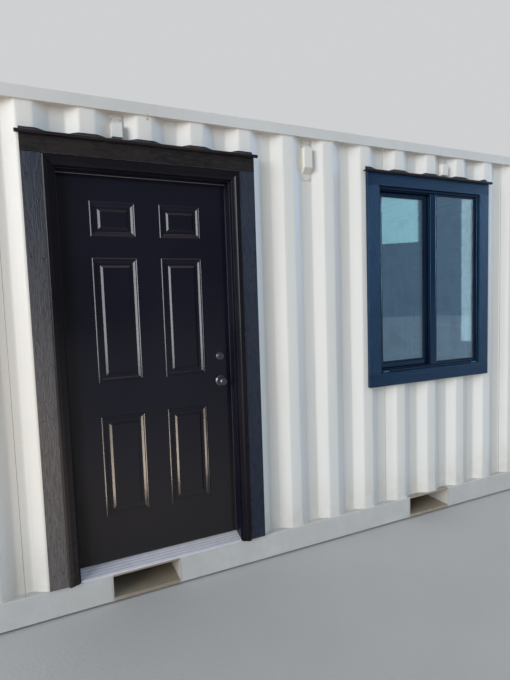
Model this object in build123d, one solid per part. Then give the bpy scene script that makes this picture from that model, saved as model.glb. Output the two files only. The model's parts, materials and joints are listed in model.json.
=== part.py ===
from build123d import *
import math
import os

# Shipping container cabin, in millimetres.
# Origin at the bottom centre of the container, +Z up, +X along its length.
# The wall with the door and the window faces -Y.

# Overall size
length = 6058
width = 2438
height = 2591

# Corner castings
casting_length = 178
casting_width = 162
casting_height = 118
casting_wall = 28
casting_slot = (124, 63)
casting_side_slot = (79, 51)
casting_corner = 18
casting_proud = 5
casting_top_proud = 6

# Base frame
base_clearance = 12
rail_height = 144
rail_flange = 48
rail_steel = 5
pocket_width = 355
pocket_height = 115
pocket_spacing = 2020
pocket_floor = 31
pocket_steel = 3
pocket_side_steel = 9
pocket_strap_run = 260
member_flange = 45
member_steel = 4
member_pitch = 290
floor_thickness = 28

# Top frame and roof
top_rail = 60
tube_wall = 4
roof_steel = 2
roof_pitch = 209
roof_flat = 91
roof_slope = 14
roof_depth = 20

# Corner posts and end frames
post_steel = 6
header_depth = 90

# Corrugated side walls
sheet = 2
wall_recess = 8
wall_pitch = 278
wall_flat = 72
wall_slope = 68
wall_depth = 36
wall_phase = -108

# Closed end wall
end_pitch = 250
end_flat = 110
end_slope = 18
end_depth = 46

# Round bars and turned parts are given many flat sides
bar_sides = 16
turned_sides = 24

# Cargo doors at the other end
cargo_recess = 56
cargo_post_notch = 45
cargo_frame = 50
cargo_gap = 6
cargo_panel_pitch = 360
cargo_panel_slope = 40
cargo_panel_depth = 36
cargo_panel_flat = 150
lock_rod_radius = 17
rod_places = (0.25, 0.75)
rod_overrun = 60
cam_width = 70
cam_height = 50
rod_guide = 60
handle_level = 900
handle_length = 230
handle_height = 40
handle_steel = 12
cargo_hinge_height = 120
cargo_hinge_radius = 14
cargo_hinge_inset = 160
cargo_hinge_count = 4
cargo_hinge_strap = (120, 80, 10)
cargo_hinge_offset = 20

# Openings in the long wall, hung from the top rail
door_x = -900
door_clear_width = 914
door_head_drop = 285
window_x = 1031
window_width = 914
window_height = 1219
window_head_drop = 244
frame_tube = 50

# Entrance door
slab_gap = 5.5
slab_bottom = 195
slab_top_gap = 5
slab_thickness = 44.5
latch_bevel = 2
jamb_depth = 116
jamb_back = 19.5
jamb_stop = 12.5
stop_gap = 5
sill_front_height = 10
sill_gap = 5
sill_rib_pitch = 9
sill_rib_depth = 1.5
stile = 158
mullion = 124
top_rail_of_slab = 137
bottom_rail_of_slab = 241
upper_rail = 107
lock_rail = 180
upper_panel = 180
lower_panel = 545
panel_step = 2.5
panel_step_slope = 8
panel_ledge = 4
panel_recess = 7.5
panel_slope = 16
panel_groove = 8
field_slope = 16
field_drop = 1

# Hinges of the entrance door
hinge_height = 102
hinge_leaf = 2.3
hinge_leaf_width = 30
hinge_radius = 6.5
hinge_pin = 3.5
hinge_offset = 9
hinge_play = 0.1
knuckle_gap = 0.3
hinge_from_top = 180
hinge_from_bottom = 280

# Knob and deadbolt
backset = 70
knob_rise = 916
deadbolt_rise = 143
knob_neck = 11
knob_profile = ((knob_neck, 0), (knob_neck, 24), (18, 31), (24, 39), (25, 46), (22, 54), (15, 60))
rose_gap = 0.3
rose_profile = ((33, 0), (33, 3), (27, 8))
spindle_radius = 6
bolt_profile = ((26, 0), (26, 5), (23, 15), (20, 18))
turn_width = 10
turn_height = 38
turn_reach = 28

# Trim around door and window
board_width = 89
board_thickness = 25
trim_gap = 2
board_lift = 5
brickmould_width = 50
brickmould_thickness = 32
brickmould_edge = 0.55
brickmould_shoulder = 0.8
brickmould_curve = ((0.86, 1), (0.5, 0.92), (0.36, 0.7), (0.1, brickmould_edge))
brickmould_reveal = 8
mitre_margin = 10
cap_overhang = 18
cap_steel = 2
cap_hem_radius = 9
cap_hem_steel = 1.5
cap_hem_drop = 2.5
closure_proud = 20
closure_lip = 4
closure_rise = 28
closure_dip = 13
closure_steps = 4

# Window
window_member = 16
window_front = 12
window_depth = 80
meeting_offset = 4
meeting_lap = 10
track_gap = 4
sash_setback = 12
sash_depth = 28
sliding_members = (50, 49, 50, 38)
fixed_members = (58, 14, 21, 12)
bead_width = 10
glass_thickness = 16
glass_grip = 8

# Box vents in the upper wall
vent_flats = (-4, 0, 4)
vent_height = 236
vent_flange_width = 66
vent_flange_thickness = 2
vent_top_flange = 47
vent_bottom_flange = 35
vent_body_width = 54
vent_depth = 33
vent_slant = 37
vent_top_gap = 5


# Levels and planes worked out from the sizes above
half_length = length / 2
half_width = width / 2
rail_top = base_clearance + rail_height
pocket_top = pocket_floor + pocket_height
pocket_reach = pocket_width / 2 + pocket_side_steel
floor_bottom = pocket_top + pocket_steel
floor_top = floor_bottom + floor_thickness
frame_top = height - casting_top_proud
wall_top = frame_top - top_rail
rail_face = half_width - casting_proud
wall_face = rail_face - wall_recess
rail_inner = rail_face - rail_flange
casting_inner_x = half_length - casting_length
casting_inner_y = half_width - casting_width
end_face = half_length - casting_proud
cargo_face = half_length - cargo_recess
tube_depth = wall_face - rail_inner

door_clear_top = wall_top - door_head_drop
door_left = door_x - door_clear_width / 2
door_right = door_x + door_clear_width / 2
door_cut_left = door_left - jamb_back - frame_tube
door_cut_right = door_right + jamb_back + frame_tube
door_cut_top = door_clear_top + jamb_back + frame_tube
slab_left = door_left + slab_gap
slab_right = door_right - slab_gap
slab_top = door_clear_top - slab_top_gap
slab_inner_y = -wall_face + jamb_depth
slab_outer_y = slab_inner_y - slab_thickness
stop_y = slab_outer_y - stop_gap
hinge_x = (door_left + slab_left) / 2
hinge_y = slab_inner_y + hinge_offset
knob_x = slab_right - backset
knob_z = slab_bottom + knob_rise
deadbolt_z = knob_z + deadbolt_rise

window_left = window_x - window_width / 2
window_right = window_x + window_width / 2
window_top = wall_top - window_head_drop
window_bottom = window_top - window_height
window_cut_left = window_left - frame_tube
window_cut_right = window_right + frame_tube
window_cut_bottom = window_bottom - frame_tube
window_cut_top = window_top + frame_tube


def block(x0, x1, y0, y1, z0, z1):
    """A box between two corners."""
    centre = Pos((x0 + x1) / 2, (y0 + y1) / 2, (z0 + z1) / 2)
    return centre * Box(abs(x1 - x0), abs(y1 - y0), abs(z1 - z0))


def along_z(points, z0, z1):
    """A prism with the outline given in X and Y."""
    face = make_face(Polyline(*points, close=True))
    return extrude(Pos(0, 0, z0) * face, amount=z1 - z0, dir=(0, 0, 1))


def along_x(points, x0, x1):
    """A prism with the outline given in Y and Z."""
    plane = Plane(origin=(x0, 0, 0), x_dir=(0, 1, 0), z_dir=(1, 0, 0))
    face = plane * make_face(Polyline(*points, close=True))
    return extrude(face, amount=x1 - x0, dir=(1, 0, 0))


def along_y(points, y0, y1):
    """A prism with the outline given in X and Z."""
    plane = Plane(origin=(0, y0, 0), x_dir=(1, 0, 0), z_dir=(0, -1, 0))
    face = plane * make_face(Polyline(*points, close=True))
    return extrude(face, amount=y1 - y0, dir=(0, 1, 0))


def rod_y(x, z, radius, y0, y1):
    """A round bar along Y."""
    return Pos(x, (y0 + y1) / 2, z) * Rot(90, 0, 0) * Cylinder(radius, abs(y1 - y0))


def sided_z(x, y, radius, z0, z1):
    """A bar along Z with many flat sides."""
    return extrude(Pos(x, y, z0) * RegularPolygon(radius, bar_sides), amount=z1 - z0)


def turned(profile, x, z, face_y, outward, bore=0):
    """A turned piece with many flat sides on a face across Y.

    Its profile is given as pairs of radius and reach from the face.
    """
    turns = [math.radians(360 * n / turned_sides) for n in range(turned_sides)]
    rings = []
    for radius, reach in profile:
        y = face_y + outward * reach
        rings.append([(x + radius * math.cos(t), y, z + radius * math.sin(t)) for t in turns])
    outlines = [rings[0], rings[-1]]
    for near, far in zip(rings, rings[1:]):
        for n in range(turned_sides):
            outlines.append([near[n - 1], near[n], far[n], far[n - 1]])
    piece = Solid(Shell([Face(Wire.make_polygon(outline)) for outline in outlines]))
    if bore:
        plane = Plane(origin=(x, face_y, z), x_dir=(1, 0, 0), z_dir=(0, outward, 0))
        piece -= extrude(plane * RegularPolygon(bore, turned_sides), amount=profile[-1][1])
    return piece


def tapered(x0, x1, z0, z1, y0, y1, inset):
    """A block with its full outline at y0 and a smaller one at y1."""
    plane = Plane(origin=((x0 + x1) / 2, y0, (z0 + z1) / 2), x_dir=(1, 0, 0), z_dir=(0, -1, 0))
    base = plane * Rectangle(x1 - x0, z1 - z0)
    top = plane.offset(y0 - y1) * Rectangle(x1 - x0 - 2 * inset, z1 - z0 - 2 * inset)
    return loft([base, top])


def mirrored_y(shape):
    """The same shape on the other long side."""
    return mirror(shape, about=Plane.XZ)


def mirrored_x(shape):
    """The same shape at the other end."""
    return mirror(shape, about=Plane.YZ)


def height_at(points, u):
    """Depth of a broken line at a place along it."""
    for (u0, v0), (u1, v1) in zip(points, points[1:]):
        if u0 <= u <= u1:
            return v0 + (v1 - v0) * (u - u0) / (u1 - u0)
    raise ValueError("place lies outside the broken line")


def clipped(points, start, end):
    """The stretch of a broken line between two places."""
    inside = [p for p in points if start < p[0] < end]
    return [(start, height_at(points, start)), *inside, (end, height_at(points, end))]


def corrugated(start, end, pitch, flat, slope, depth, phase, steel):
    """Outline of a folded sheet: outer face at 0, folds going in to depth."""
    inner = pitch - flat - 2 * slope
    shift = steel * math.tan(math.atan2(depth, slope) / 2)
    first = math.floor((start - phase) / pitch) - 1
    last = math.ceil((end - phase) / pitch) + 1
    front = []
    back = []
    for n in range(first, last + 1):
        a = phase + n * pitch
        b = a + flat
        c = b + slope
        d = c + inner
        front += [(a, 0), (b, 0), (c, depth), (d, depth)]
        back += [(a + shift, steel), (b - shift, steel)]
        back += [(c - shift, depth + steel), (d + shift, depth + steel)]
    return clipped(front, start, end) + clipped(back, start, end)[::-1]


def side_sheet(start, end, bottom, top):
    """A stretch of the front wall's corrugated sheet."""
    outline = corrugated(start, end, wall_pitch, wall_flat, wall_slope,
                         wall_depth, wall_phase, sheet)
    return along_z([(u, v - wall_face) for u, v in outline], bottom, top)


def slot(long, across, thickness):
    """A hole tool with chamfered ends, along Z and long in X."""
    outline = chamfer(Rectangle(long, across).vertices(), casting_corner)
    return extrude(outline, amount=thickness / 2, both=True)


# Corner castings

def casting():
    """One hollow corner block with holes in its outer faces, at the top corner +X +Y."""
    x1 = half_length
    x0 = x1 - casting_length
    y1 = half_width
    y0 = y1 - casting_width
    z1 = height
    z0 = z1 - casting_height
    body = block(x0, x1, y0, y1, z0, z1)
    body -= block(x0 + casting_wall / 2, x1 - casting_wall, y0 + casting_wall / 2,
                  y1 - casting_wall, z0 + casting_wall / 2, z1 - casting_wall)
    cx = (x0 + casting_wall / 2 + x1 - casting_wall) / 2
    cy = (y0 + casting_wall / 2 + y1 - casting_wall) / 2
    cz = (z0 + casting_wall / 2 + z1 - casting_wall) / 2
    body -= Pos(cx, cy, z1) * slot(*casting_slot, 3 * casting_wall)
    body -= Pos(cx, y1, cz) * Rot(90, 0, 0) * slot(*casting_side_slot, 3 * casting_wall)
    body -= Pos(x1, cy, cz) * Rot(0, 90, 90) * slot(*casting_side_slot, 3 * casting_wall)
    return body


def all_corners(shape):
    """Copies of a piece at all four corners in plan."""
    pair = [shape, mirrored_y(shape)]
    return pair + [mirrored_x(piece) for piece in pair]


def corner_castings():
    top = all_corners(casting())
    flip = Plane.XY.offset(height / 2)
    bottom = [mirror(piece, about=flip) for piece in top]
    return top + bottom


# Base frame

def rail_stretch(x0, x1):
    """A stretch of the channel along the front of the base."""
    y0 = -rail_face
    y1 = -rail_inner
    channel = block(x0, x1, y0, y1, base_clearance, rail_top)
    return channel - block(x0 - 1, x1 + 1, y0 + rail_steel, y1 + 1,
                           base_clearance + rail_steel, rail_top - rail_steel)


def base_rails():
    """Both rails, broken where the fork pockets pass through."""
    near = pocket_spacing / 2 - pocket_reach
    far = pocket_spacing / 2 + pocket_reach
    spans = ((-casting_inner_x, -far), (-near, near), (far, casting_inner_x))
    front = [rail_stretch(x0, x1) for x0, x1 in spans]
    return front + [mirrored_y(piece) for piece in front]


def pocket_section(bottom):
    """Outline in Y and Z across the base, stepped up where the rails are."""
    return [(-rail_face, bottom), (rail_face, bottom), (rail_face, rail_top),
            (rail_inner, rail_top), (rail_inner, floor_bottom),
            (-rail_inner, floor_bottom), (-rail_inner, rail_top), (-rail_face, rail_top)]


def fork_pocket_sides():
    """Upright plates beside each fork pocket, from face to face of the base."""
    plates = []
    for middle in (-pocket_spacing / 2, pocket_spacing / 2):
        for side in (-1, 1):
            edges = sorted((middle + side * pocket_width / 2, middle + side * pocket_reach))
            plates.append(along_x(pocket_section(base_clearance), *edges))
    return plates


def fork_pocket_plates():
    """The top plate of each pocket, and the straps that close it below at its ends."""
    lower = pocket_floor - pocket_steel
    run = rail_face - pocket_strap_run
    strap = [(-rail_face, base_clearance), (rail_steel - rail_face, base_clearance),
             (rail_steel - rail_face, lower), (-run, lower), (-run, pocket_floor),
             (-rail_face, pocket_floor)]
    plates = []
    for middle in (-pocket_spacing / 2, pocket_spacing / 2):
        x0 = middle - pocket_width / 2
        x1 = middle + pocket_width / 2
        front = along_x(strap, x0, x1)
        plates += [along_x(pocket_section(pocket_top), x0, x1), front, mirrored_y(front)]
    return plates


def member_places():
    """Middles of the cross members: beside each fork pocket and evenly between."""
    reach = pocket_reach + member_flange / 2
    near = pocket_spacing / 2 - reach
    far = pocket_spacing / 2 + reach
    inner_bays = round(2 * near / member_pitch)
    outer_bays = round((casting_inner_x - far) / member_pitch)
    middle = [-near + 2 * near * n / inner_bays for n in range(inner_bays + 1)]
    outer = [far + (casting_inner_x - far) * n / outer_bays for n in range(outer_bays)]
    return [-x for x in outer[::-1]] + middle + outer


def cross_members():
    """Channels across the base that carry the floor."""
    members = []
    for x in member_places():
        x0 = x - member_flange / 2
        x1 = x + member_flange / 2
        bar = block(x0, x1, -rail_inner, rail_inner, base_clearance, floor_bottom)
        bar -= block(x0 + member_steel, x1 + 1, -rail_inner - 1, rail_inner + 1,
                     base_clearance + member_steel, floor_bottom - member_steel)
        members.append(bar)
    return members


def end_sill(face):
    """The beam across the base between two bottom castings, its outer face at X."""
    y = casting_inner_y
    beam = block(casting_inner_x, face, -y, y, base_clearance, floor_bottom)
    beam -= block(casting_inner_x - 1, face - post_steel, -y - 1, y + 1,
                  base_clearance + post_steel, floor_bottom - post_steel)
    return beam


def floor():
    """The plywood floor between the walls, notched at the four posts."""
    board = block(-casting_inner_x, casting_inner_x, -rail_inner, rail_inner,
                  floor_bottom, floor_top)
    closed_end = end_face - wall_recess - end_depth - sheet
    cargo_end = cargo_face - cargo_frame - cargo_gap
    board += block(-closed_end, cargo_end, -casting_inner_y, casting_inner_y,
                   floor_bottom, floor_top)
    return board


# Top frame and roof

def top_side_rail():
    """Square tube along the top of the front wall."""
    y0 = -rail_face
    y1 = y0 + top_rail
    tube = block(-casting_inner_x, casting_inner_x, y0, y1, wall_top, frame_top)
    tube -= block(-half_length, half_length, y0 + tube_wall, y1 - tube_wall,
                  wall_top + tube_wall, frame_top - tube_wall)
    return tube


def end_header(face):
    """Box beam across the top between two castings, its outer face at X."""
    y = casting_inner_y
    z0 = frame_top - header_depth
    x0 = face - top_rail
    tube = block(x0, face, -y, y, z0, frame_top)
    tube -= block(x0 + tube_wall, face - tube_wall, -y - 1, y + 1,
                  z0 + tube_wall, frame_top - tube_wall)
    return tube


def roof():
    """Sheet with shallow folds running across the container."""
    start = top_rail - end_face
    end = cargo_face - top_rail
    outline = corrugated(start, end, roof_pitch, roof_flat, roof_slope,
                         roof_depth, -roof_flat / 2, roof_steel)
    reach = rail_face - top_rail
    panel = along_y([(u, frame_top - v) for u, v in outline], -reach, reach)
    corner = block(casting_inner_x, half_length, casting_inner_y, half_width,
                   height - casting_height, height)
    for notch in all_corners(corner):
        panel -= notch
    return panel


# Posts

def corner_post():
    """A folded steel post at the corner +X -Y."""
    x0 = casting_inner_x
    y0 = -rail_face
    y1 = -casting_inner_y
    z0 = casting_height
    z1 = height - casting_height
    post = block(x0, end_face, y0, y1, z0, z1)
    post -= block(x0 + post_steel, end_face - post_steel, y0 + post_steel, y1 - post_steel,
                  z0 - 1, z1 + 1)
    return post


def cargo_post():
    """The post at the cargo doors, stepped back where their hinges sit."""
    x0 = casting_inner_x
    y0 = -rail_face
    y1 = -casting_inner_y
    step_y = y1 - cargo_post_notch
    outline = [(x0, y0), (end_face, y0), (end_face, step_y), (cargo_face, step_y),
               (cargo_face, y1), (x0, y1)]
    t = post_steel
    hollow = [(x0 + t, y0 + t), (end_face - t, y0 + t), (end_face - t, step_y - t),
              (cargo_face - t, step_y - t), (cargo_face - t, y1 - t), (x0 + t, y1 - t)]
    z0 = casting_height
    z1 = height - casting_height
    return along_z(outline, z0, z1) - along_z(hollow, z0 - 1, z1 + 1)


def corner_posts():
    closed = mirrored_x(corner_post())
    cargo = cargo_post()
    return [closed, mirrored_y(closed), cargo, mirrored_y(cargo)]


# Walls

def back_wall():
    return mirrored_y(side_sheet(-casting_inner_x, casting_inner_x, rail_top, wall_top))


def end_wall():
    """The closed end, corrugated, at -X."""
    reach = casting_inner_y
    outline = corrugated(-reach, reach, end_pitch, end_flat, end_slope,
                         end_depth, -end_flat / 2, sheet)
    face = end_face - wall_recess
    points = [(v - face, u) for u, v in outline]
    return along_z(points, floor_bottom, frame_top - header_depth)


# Cargo doors

def cargo_leaf(side):
    """One cargo door leaf: a tube frame with a folded panel, side -1 or 1."""
    edge = casting_inner_y - cargo_gap
    y0 = cargo_gap / 2 if side > 0 else -edge
    y1 = edge if side > 0 else -cargo_gap / 2
    z0 = floor_bottom + cargo_gap
    z1 = frame_top - header_depth - cargo_gap
    x1 = cargo_face
    x0 = x1 - cargo_frame
    leaf = block(x0, x1, y0, y1, z0, z1)
    leaf -= block(x0 - 1, x1 + 1, y0 + cargo_frame, y1 - cargo_frame,
                  z0 + cargo_frame, z1 - cargo_frame)
    outline = corrugated(z0 + cargo_frame, z1 - cargo_frame, cargo_panel_pitch,
                         cargo_panel_flat, cargo_panel_slope, cargo_panel_depth,
                         z0, sheet)
    points = [(x1 - wall_recess / 2 - v, u) for u, v in outline]
    panel = along_y(points, y0 + cargo_frame, y1 - cargo_frame)
    return leaf + panel


def lock_rod(y, inward):
    """A lock rod with its cams, guides and a handle that points inward, -1 or 1."""
    x = cargo_face + lock_rod_radius + 1
    z0 = floor_bottom - rod_overrun
    z1 = frame_top - header_depth + rod_overrun
    rod = sided_z(x, y, lock_rod_radius, z0, z1)
    for z in (z0, z1):
        rod += block(cargo_face, x + lock_rod_radius, y - cam_width / 2, y + cam_width / 2,
                     z - cam_height / 2, z + cam_height / 2)
    for z in (z0 + (z1 - z0) / 3, z1 - (z1 - z0) / 3):
        rod += block(cargo_face, x, y - rod_guide / 2, y + rod_guide / 2,
                     z - rod_guide / 2, z + rod_guide / 2)
    handle_z = floor_top + handle_level
    ends = sorted((y, y + inward * handle_length))
    rod += block(x - handle_steel / 2, x + handle_steel / 2, *ends,
                 handle_z, handle_z + handle_height)
    return rod


def lock_rods():
    """Two lock rods in front of each cargo door leaf."""
    near, far = (place * casting_inner_y for place in rod_places)
    right = [lock_rod(near, 1), lock_rod(far, -1)]
    return right + [mirrored_y(rod) for rod in right]


def cargo_hinges():
    """Hinges of the cargo doors on the corner posts."""
    pieces = []
    strap_length, strap_height, strap_steel = cargo_hinge_strap
    z0 = floor_bottom + cargo_hinge_inset
    z1 = frame_top - header_depth - cargo_hinge_inset
    x = cargo_face + cargo_hinge_radius
    y = casting_inner_y + cargo_hinge_offset
    for n in range(cargo_hinge_count):
        z = z0 + (z1 - z0) * n / (cargo_hinge_count - 1)
        piece = sided_z(x, y, cargo_hinge_radius, z - cargo_hinge_height / 2,
                        z + cargo_hinge_height / 2)
        piece += block(cargo_face, cargo_face + strap_steel, casting_inner_y - strap_length, y,
                       z - strap_height / 2, z + strap_height / 2)
        pieces += [piece, mirrored_y(piece)]
    return pieces


# Steel tubes around the two wall openings

def upright_tube(x0, z0, z1):
    y0 = -wall_face
    tube = block(x0, x0 + frame_tube, y0, y0 + tube_depth, z0, z1)
    tube -= block(x0 + tube_wall, x0 + frame_tube - tube_wall, y0 + tube_wall,
                  y0 + tube_depth - tube_wall, z0 - 1, z1 + 1)
    return tube


def level_tube(x0, x1, z0):
    y0 = -wall_face
    tube = block(x0, x1, y0, y0 + tube_depth, z0, z0 + frame_tube)
    tube -= block(x0 - 1, x1 + 1, y0 + tube_wall, y0 + tube_depth - tube_wall,
                  z0 + tube_wall, z0 + frame_tube - tube_wall)
    return tube


def opening_posts():
    """Upright tubes beside the door and the window."""
    door_top = door_cut_top - frame_tube
    posts = [upright_tube(x, rail_top, door_top)
             for x in (door_cut_left, door_cut_right - frame_tube)]
    posts += [upright_tube(x, window_bottom, window_top)
              for x in (window_cut_left, window_cut_right - frame_tube)]
    return posts


def opening_headers():
    """Level tubes over the door, over the window and under it."""
    over_door = level_tube(door_cut_left, door_cut_right, door_cut_top - frame_tube)
    over_window = level_tube(window_cut_left, window_cut_right, window_top)
    under_window = level_tube(window_cut_left, window_cut_right, window_cut_bottom)
    return [over_door, over_window, under_window]


# Door frame

def jamb_outline(edge, side):
    """Jamb section in X and Y: thin behind the slab, thick in front of it."""
    y0 = -wall_face
    y1 = y0 + jamb_depth
    back = edge - side * jamb_back
    stop = edge + side * jamb_stop
    return [(back, y0), (stop, y0), (stop, stop_y), (edge, stop_y), (edge, y1), (back, y1)]


def hinge_levels():
    """Middle height of each hinge."""
    top = slab_top - hinge_from_top - hinge_height / 2
    bottom = slab_bottom + hinge_from_bottom - hinge_height / 2
    return (bottom, (top + bottom) / 2, top)


def hinge_mortises(edge, depth):
    """Shallow cuts for the hinge leaves in an edge at X, depth signed in X."""
    cuts = []
    y0 = slab_inner_y - hinge_leaf_width
    for z in hinge_levels():
        cuts.append(block(edge, edge + depth, y0, slab_inner_y + 1,
                          z - hinge_height / 2, z + hinge_height / 2))
    return cuts


def door_jambs():
    jamb_top = door_clear_top + jamb_back
    left = along_z(jamb_outline(door_left, 1), rail_top, jamb_top)
    right = along_z(jamb_outline(door_right, -1), rail_top, jamb_top)
    foot = block(door_left - jamb_back - 1, door_right + jamb_back + 1, -rail_inner,
                 slab_inner_y + 1, rail_top - 1, floor_top)
    head_room = block(door_left, door_right, -wall_face - 1, slab_inner_y + 1,
                      door_clear_top - jamb_stop, jamb_top + 1)
    left -= [foot, head_room, *hinge_mortises(door_left, -hinge_leaf)]
    right -= [foot, head_room]
    return [left, right]


def door_head_jamb():
    y0 = -wall_face
    y1 = y0 + jamb_depth
    back = door_clear_top + jamb_back
    stop = door_clear_top - jamb_stop
    edge = door_clear_top
    points = [(y0, stop), (stop_y, stop), (stop_y, edge), (y1, edge), (y1, back), (y0, back)]
    return along_x(points, door_left, door_right)


def door_sill():
    """Sloping ribbed threshold that rests on the base rail and on the floor's edge."""
    front = -rail_face
    top = slab_bottom - sill_gap
    low = rail_top + sill_front_height
    rise = (top - low) / (stop_y - front)
    points = [(-rail_inner, rail_top), (-rail_inner, floor_top), (slab_inner_y, floor_top),
              (slab_inner_y, top), (stop_y, top)]
    ribs = math.floor((stop_y - front) / sill_rib_pitch)
    for n in range(ribs, 0, -1):
        y = front + n * sill_rib_pitch
        z = low + (y - front) * rise
        points += [(y, z), (y - sill_rib_pitch / 3, z - sill_rib_depth)]
    points += [(front, low), (front, rail_top)]
    return along_x(points, door_left + jamb_stop, door_right - jamb_stop)


# Entrance door leaf

def panel_rows():
    """Lower and upper level of each row of panels, from the bottom up."""
    lower = slab_bottom + bottom_rail_of_slab
    upper = slab_top - top_rail_of_slab
    middle = (lower + lower_panel + lock_rail, upper - upper_panel - upper_rail)
    return ((lower, lower + lower_panel), middle, (upper - upper_panel, upper))


def panel_cut(x0, x1, z0, z1, face_y, inward):
    """One panel's recess: a small step, a slope to a groove, and a raised field."""
    step = face_y + inward * panel_step
    deep = face_y + inward * panel_recess
    field_face = face_y + inward * field_drop
    m = panel_step_slope + panel_ledge
    f = m + panel_slope + panel_groove
    cut = tapered(x0, x1, z0, z1, face_y, step, panel_step_slope)
    cut += tapered(x0 + m, x1 - m, z0 + m, z1 - m, step, deep, panel_slope)
    return cut - tapered(x0 + f, x1 - f, z0 + f, z1 - f, deep, field_face, field_slope)


def panel_cuts(face_y, inward):
    """Recesses of the six panels in one face of the leaf."""
    panel = (slab_right - slab_left - 2 * stile - mullion) / 2
    left = slab_left + stile
    right = left + panel + mullion
    return [panel_cut(x, x + panel, z0, z1, face_y, inward)
            for z0, z1 in panel_rows() for x in (left, right)]


def door_slab():
    outline = [(slab_left, slab_outer_y), (slab_right - latch_bevel, slab_outer_y),
               (slab_right, slab_inner_y), (slab_left, slab_inner_y)]
    slab = along_z(outline, slab_bottom, slab_top)
    for cut in panel_cuts(slab_outer_y, 1) + panel_cuts(slab_inner_y, -1):
        slab -= cut
    for cut in hinge_mortises(slab_left, hinge_leaf):
        slab -= cut
    slab -= rod_y(knob_x, knob_z, spindle_radius + hinge_play, slab_outer_y - 1,
                  slab_inner_y + 1)
    return slab


def hinge_pieces(edge, depth, levels_of_knuckle, with_pin):
    """Hinge leaves let into an edge, with the knuckles that they carry."""
    pieces = []
    y0 = slab_inner_y - hinge_leaf_width
    third = hinge_height / 3
    for z in hinge_levels():
        low = z - hinge_height / 2
        leaf = block(edge, edge + depth, y0, slab_inner_y, low, low + hinge_height)
        for n in levels_of_knuckle:
            za = low + n * third + knuckle_gap
            zb = low + (n + 1) * third - knuckle_gap
            leaf += block(edge, edge + depth, slab_inner_y, hinge_y, za, zb)
            leaf += sided_z(hinge_x, hinge_y, hinge_radius, za, zb)
        if with_pin:
            leaf += sided_z(hinge_x, hinge_y, hinge_pin, low + third / 2,
                            low + hinge_height - third / 2)
        else:
            leaf -= sided_z(hinge_x, hinge_y, hinge_pin + hinge_play, low, low + hinge_height)
        pieces.append(leaf)
    return pieces


def door_knobs():
    """Both knobs and the spindle between them."""
    outer = turned(knob_profile, knob_x, knob_z, slab_outer_y - rose_gap, -1)
    inner = turned(knob_profile, knob_x, knob_z, slab_inner_y + rose_gap, 1)
    spindle = rod_y(knob_x, knob_z, spindle_radius, slab_outer_y - 2, slab_inner_y + 2)
    return outer + inner + spindle


def lock_fittings():
    """Roses of the knob, deadbolt cylinder outside and its turn inside."""
    bore = knob_neck + rose_gap
    outer_rose = turned(rose_profile, knob_x, knob_z, slab_outer_y, -1, bore)
    inner_rose = turned(rose_profile, knob_x, knob_z, slab_inner_y, 1, bore)
    cylinder = turned(bolt_profile, knob_x, deadbolt_z, slab_outer_y, -1)
    turn = turned(rose_profile, knob_x, deadbolt_z, slab_inner_y, 1)
    turn += block(knob_x - turn_width / 2, knob_x + turn_width / 2, slab_inner_y,
                  slab_inner_y + turn_reach, deadbolt_z - turn_height / 2,
                  deadbolt_z + turn_height / 2)
    return [outer_rose, inner_rose, cylinder, turn]


# Trim boards

def brickmould_outline():
    """Section of the moulding: across from its inner edge, out from the wall."""
    w = brickmould_width
    t = brickmould_thickness
    curve = [(w * across, t * out) for across, out in brickmould_curve]
    return [(0, 0), (w, 0), (w, t * brickmould_shoulder), *curve, (0, t * brickmould_edge)]


mould_bottom = rail_top + trim_gap
board_bottom = mould_bottom + board_lift
mould_left = door_left + jamb_stop - brickmould_reveal
mould_right = door_right - jamb_stop + brickmould_reveal
mould_head = door_clear_top - jamb_stop + brickmould_reveal
head_bottom = mould_head + brickmould_width
head_top = head_bottom + board_width
trim_left = mould_left - brickmould_width - board_width
trim_right = mould_right + brickmould_width + board_width
window_trim_left = window_left - board_width
window_trim_right = window_right + board_width
window_trim_top = window_top + board_width
window_trim_bottom = window_bottom - board_width


def brickmould_sides():
    pieces = []
    for edge, side in ((mould_left, -1), (mould_right, 1)):
        outline = [(edge + side * u, -wall_face - v) for u, v in brickmould_outline()]
        upright = along_z(outline, mould_bottom, head_bottom)
        pieces.append(upright - mitre_tool(edge, side, True))
    return pieces


def mitre_tool(edge, side, above):
    """A wedge that takes the moulding off above or below the mitre at a corner."""
    near = edge - side * mitre_margin
    far = edge + side * (brickmould_width + mitre_margin)
    low = mould_head - mitre_margin
    high = head_bottom + mitre_margin
    third = (near, high) if above else (far, low)
    return along_y([(near, low), (far, high), third],
                   -wall_face - brickmould_thickness - 1, 1 - wall_face)


def brickmould_head():
    points = [(-wall_face - v, mould_head + u) for u, v in brickmould_outline()]
    head = along_x(points, mould_left - brickmould_width, mould_right + brickmould_width)
    for edge, side in ((mould_left, -1), (mould_right, 1)):
        head -= mitre_tool(edge, side, False)
    return head


def board(x0, x1, z0, z1):
    return block(x0, x1, -wall_face - board_thickness, -wall_face, z0, z1)


def door_trim_sides():
    left = board(trim_left, mould_left - brickmould_width, board_bottom, head_bottom)
    right = board(mould_right + brickmould_width, trim_right, board_bottom, head_bottom)
    return [left, right]


def door_trim_head():
    return board(trim_left, trim_right, head_bottom, head_top)


def window_trim_sides():
    left = board(window_trim_left, window_left, window_bottom, window_top)
    right = board(window_right, window_trim_right, window_bottom, window_top)
    return [left, right]


def window_trim_head_and_sill():
    head = board(window_trim_left, window_trim_right, window_top, window_trim_top)
    sill = board(window_trim_left, window_trim_right, window_trim_bottom, window_bottom)
    return [head, sill]


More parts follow.
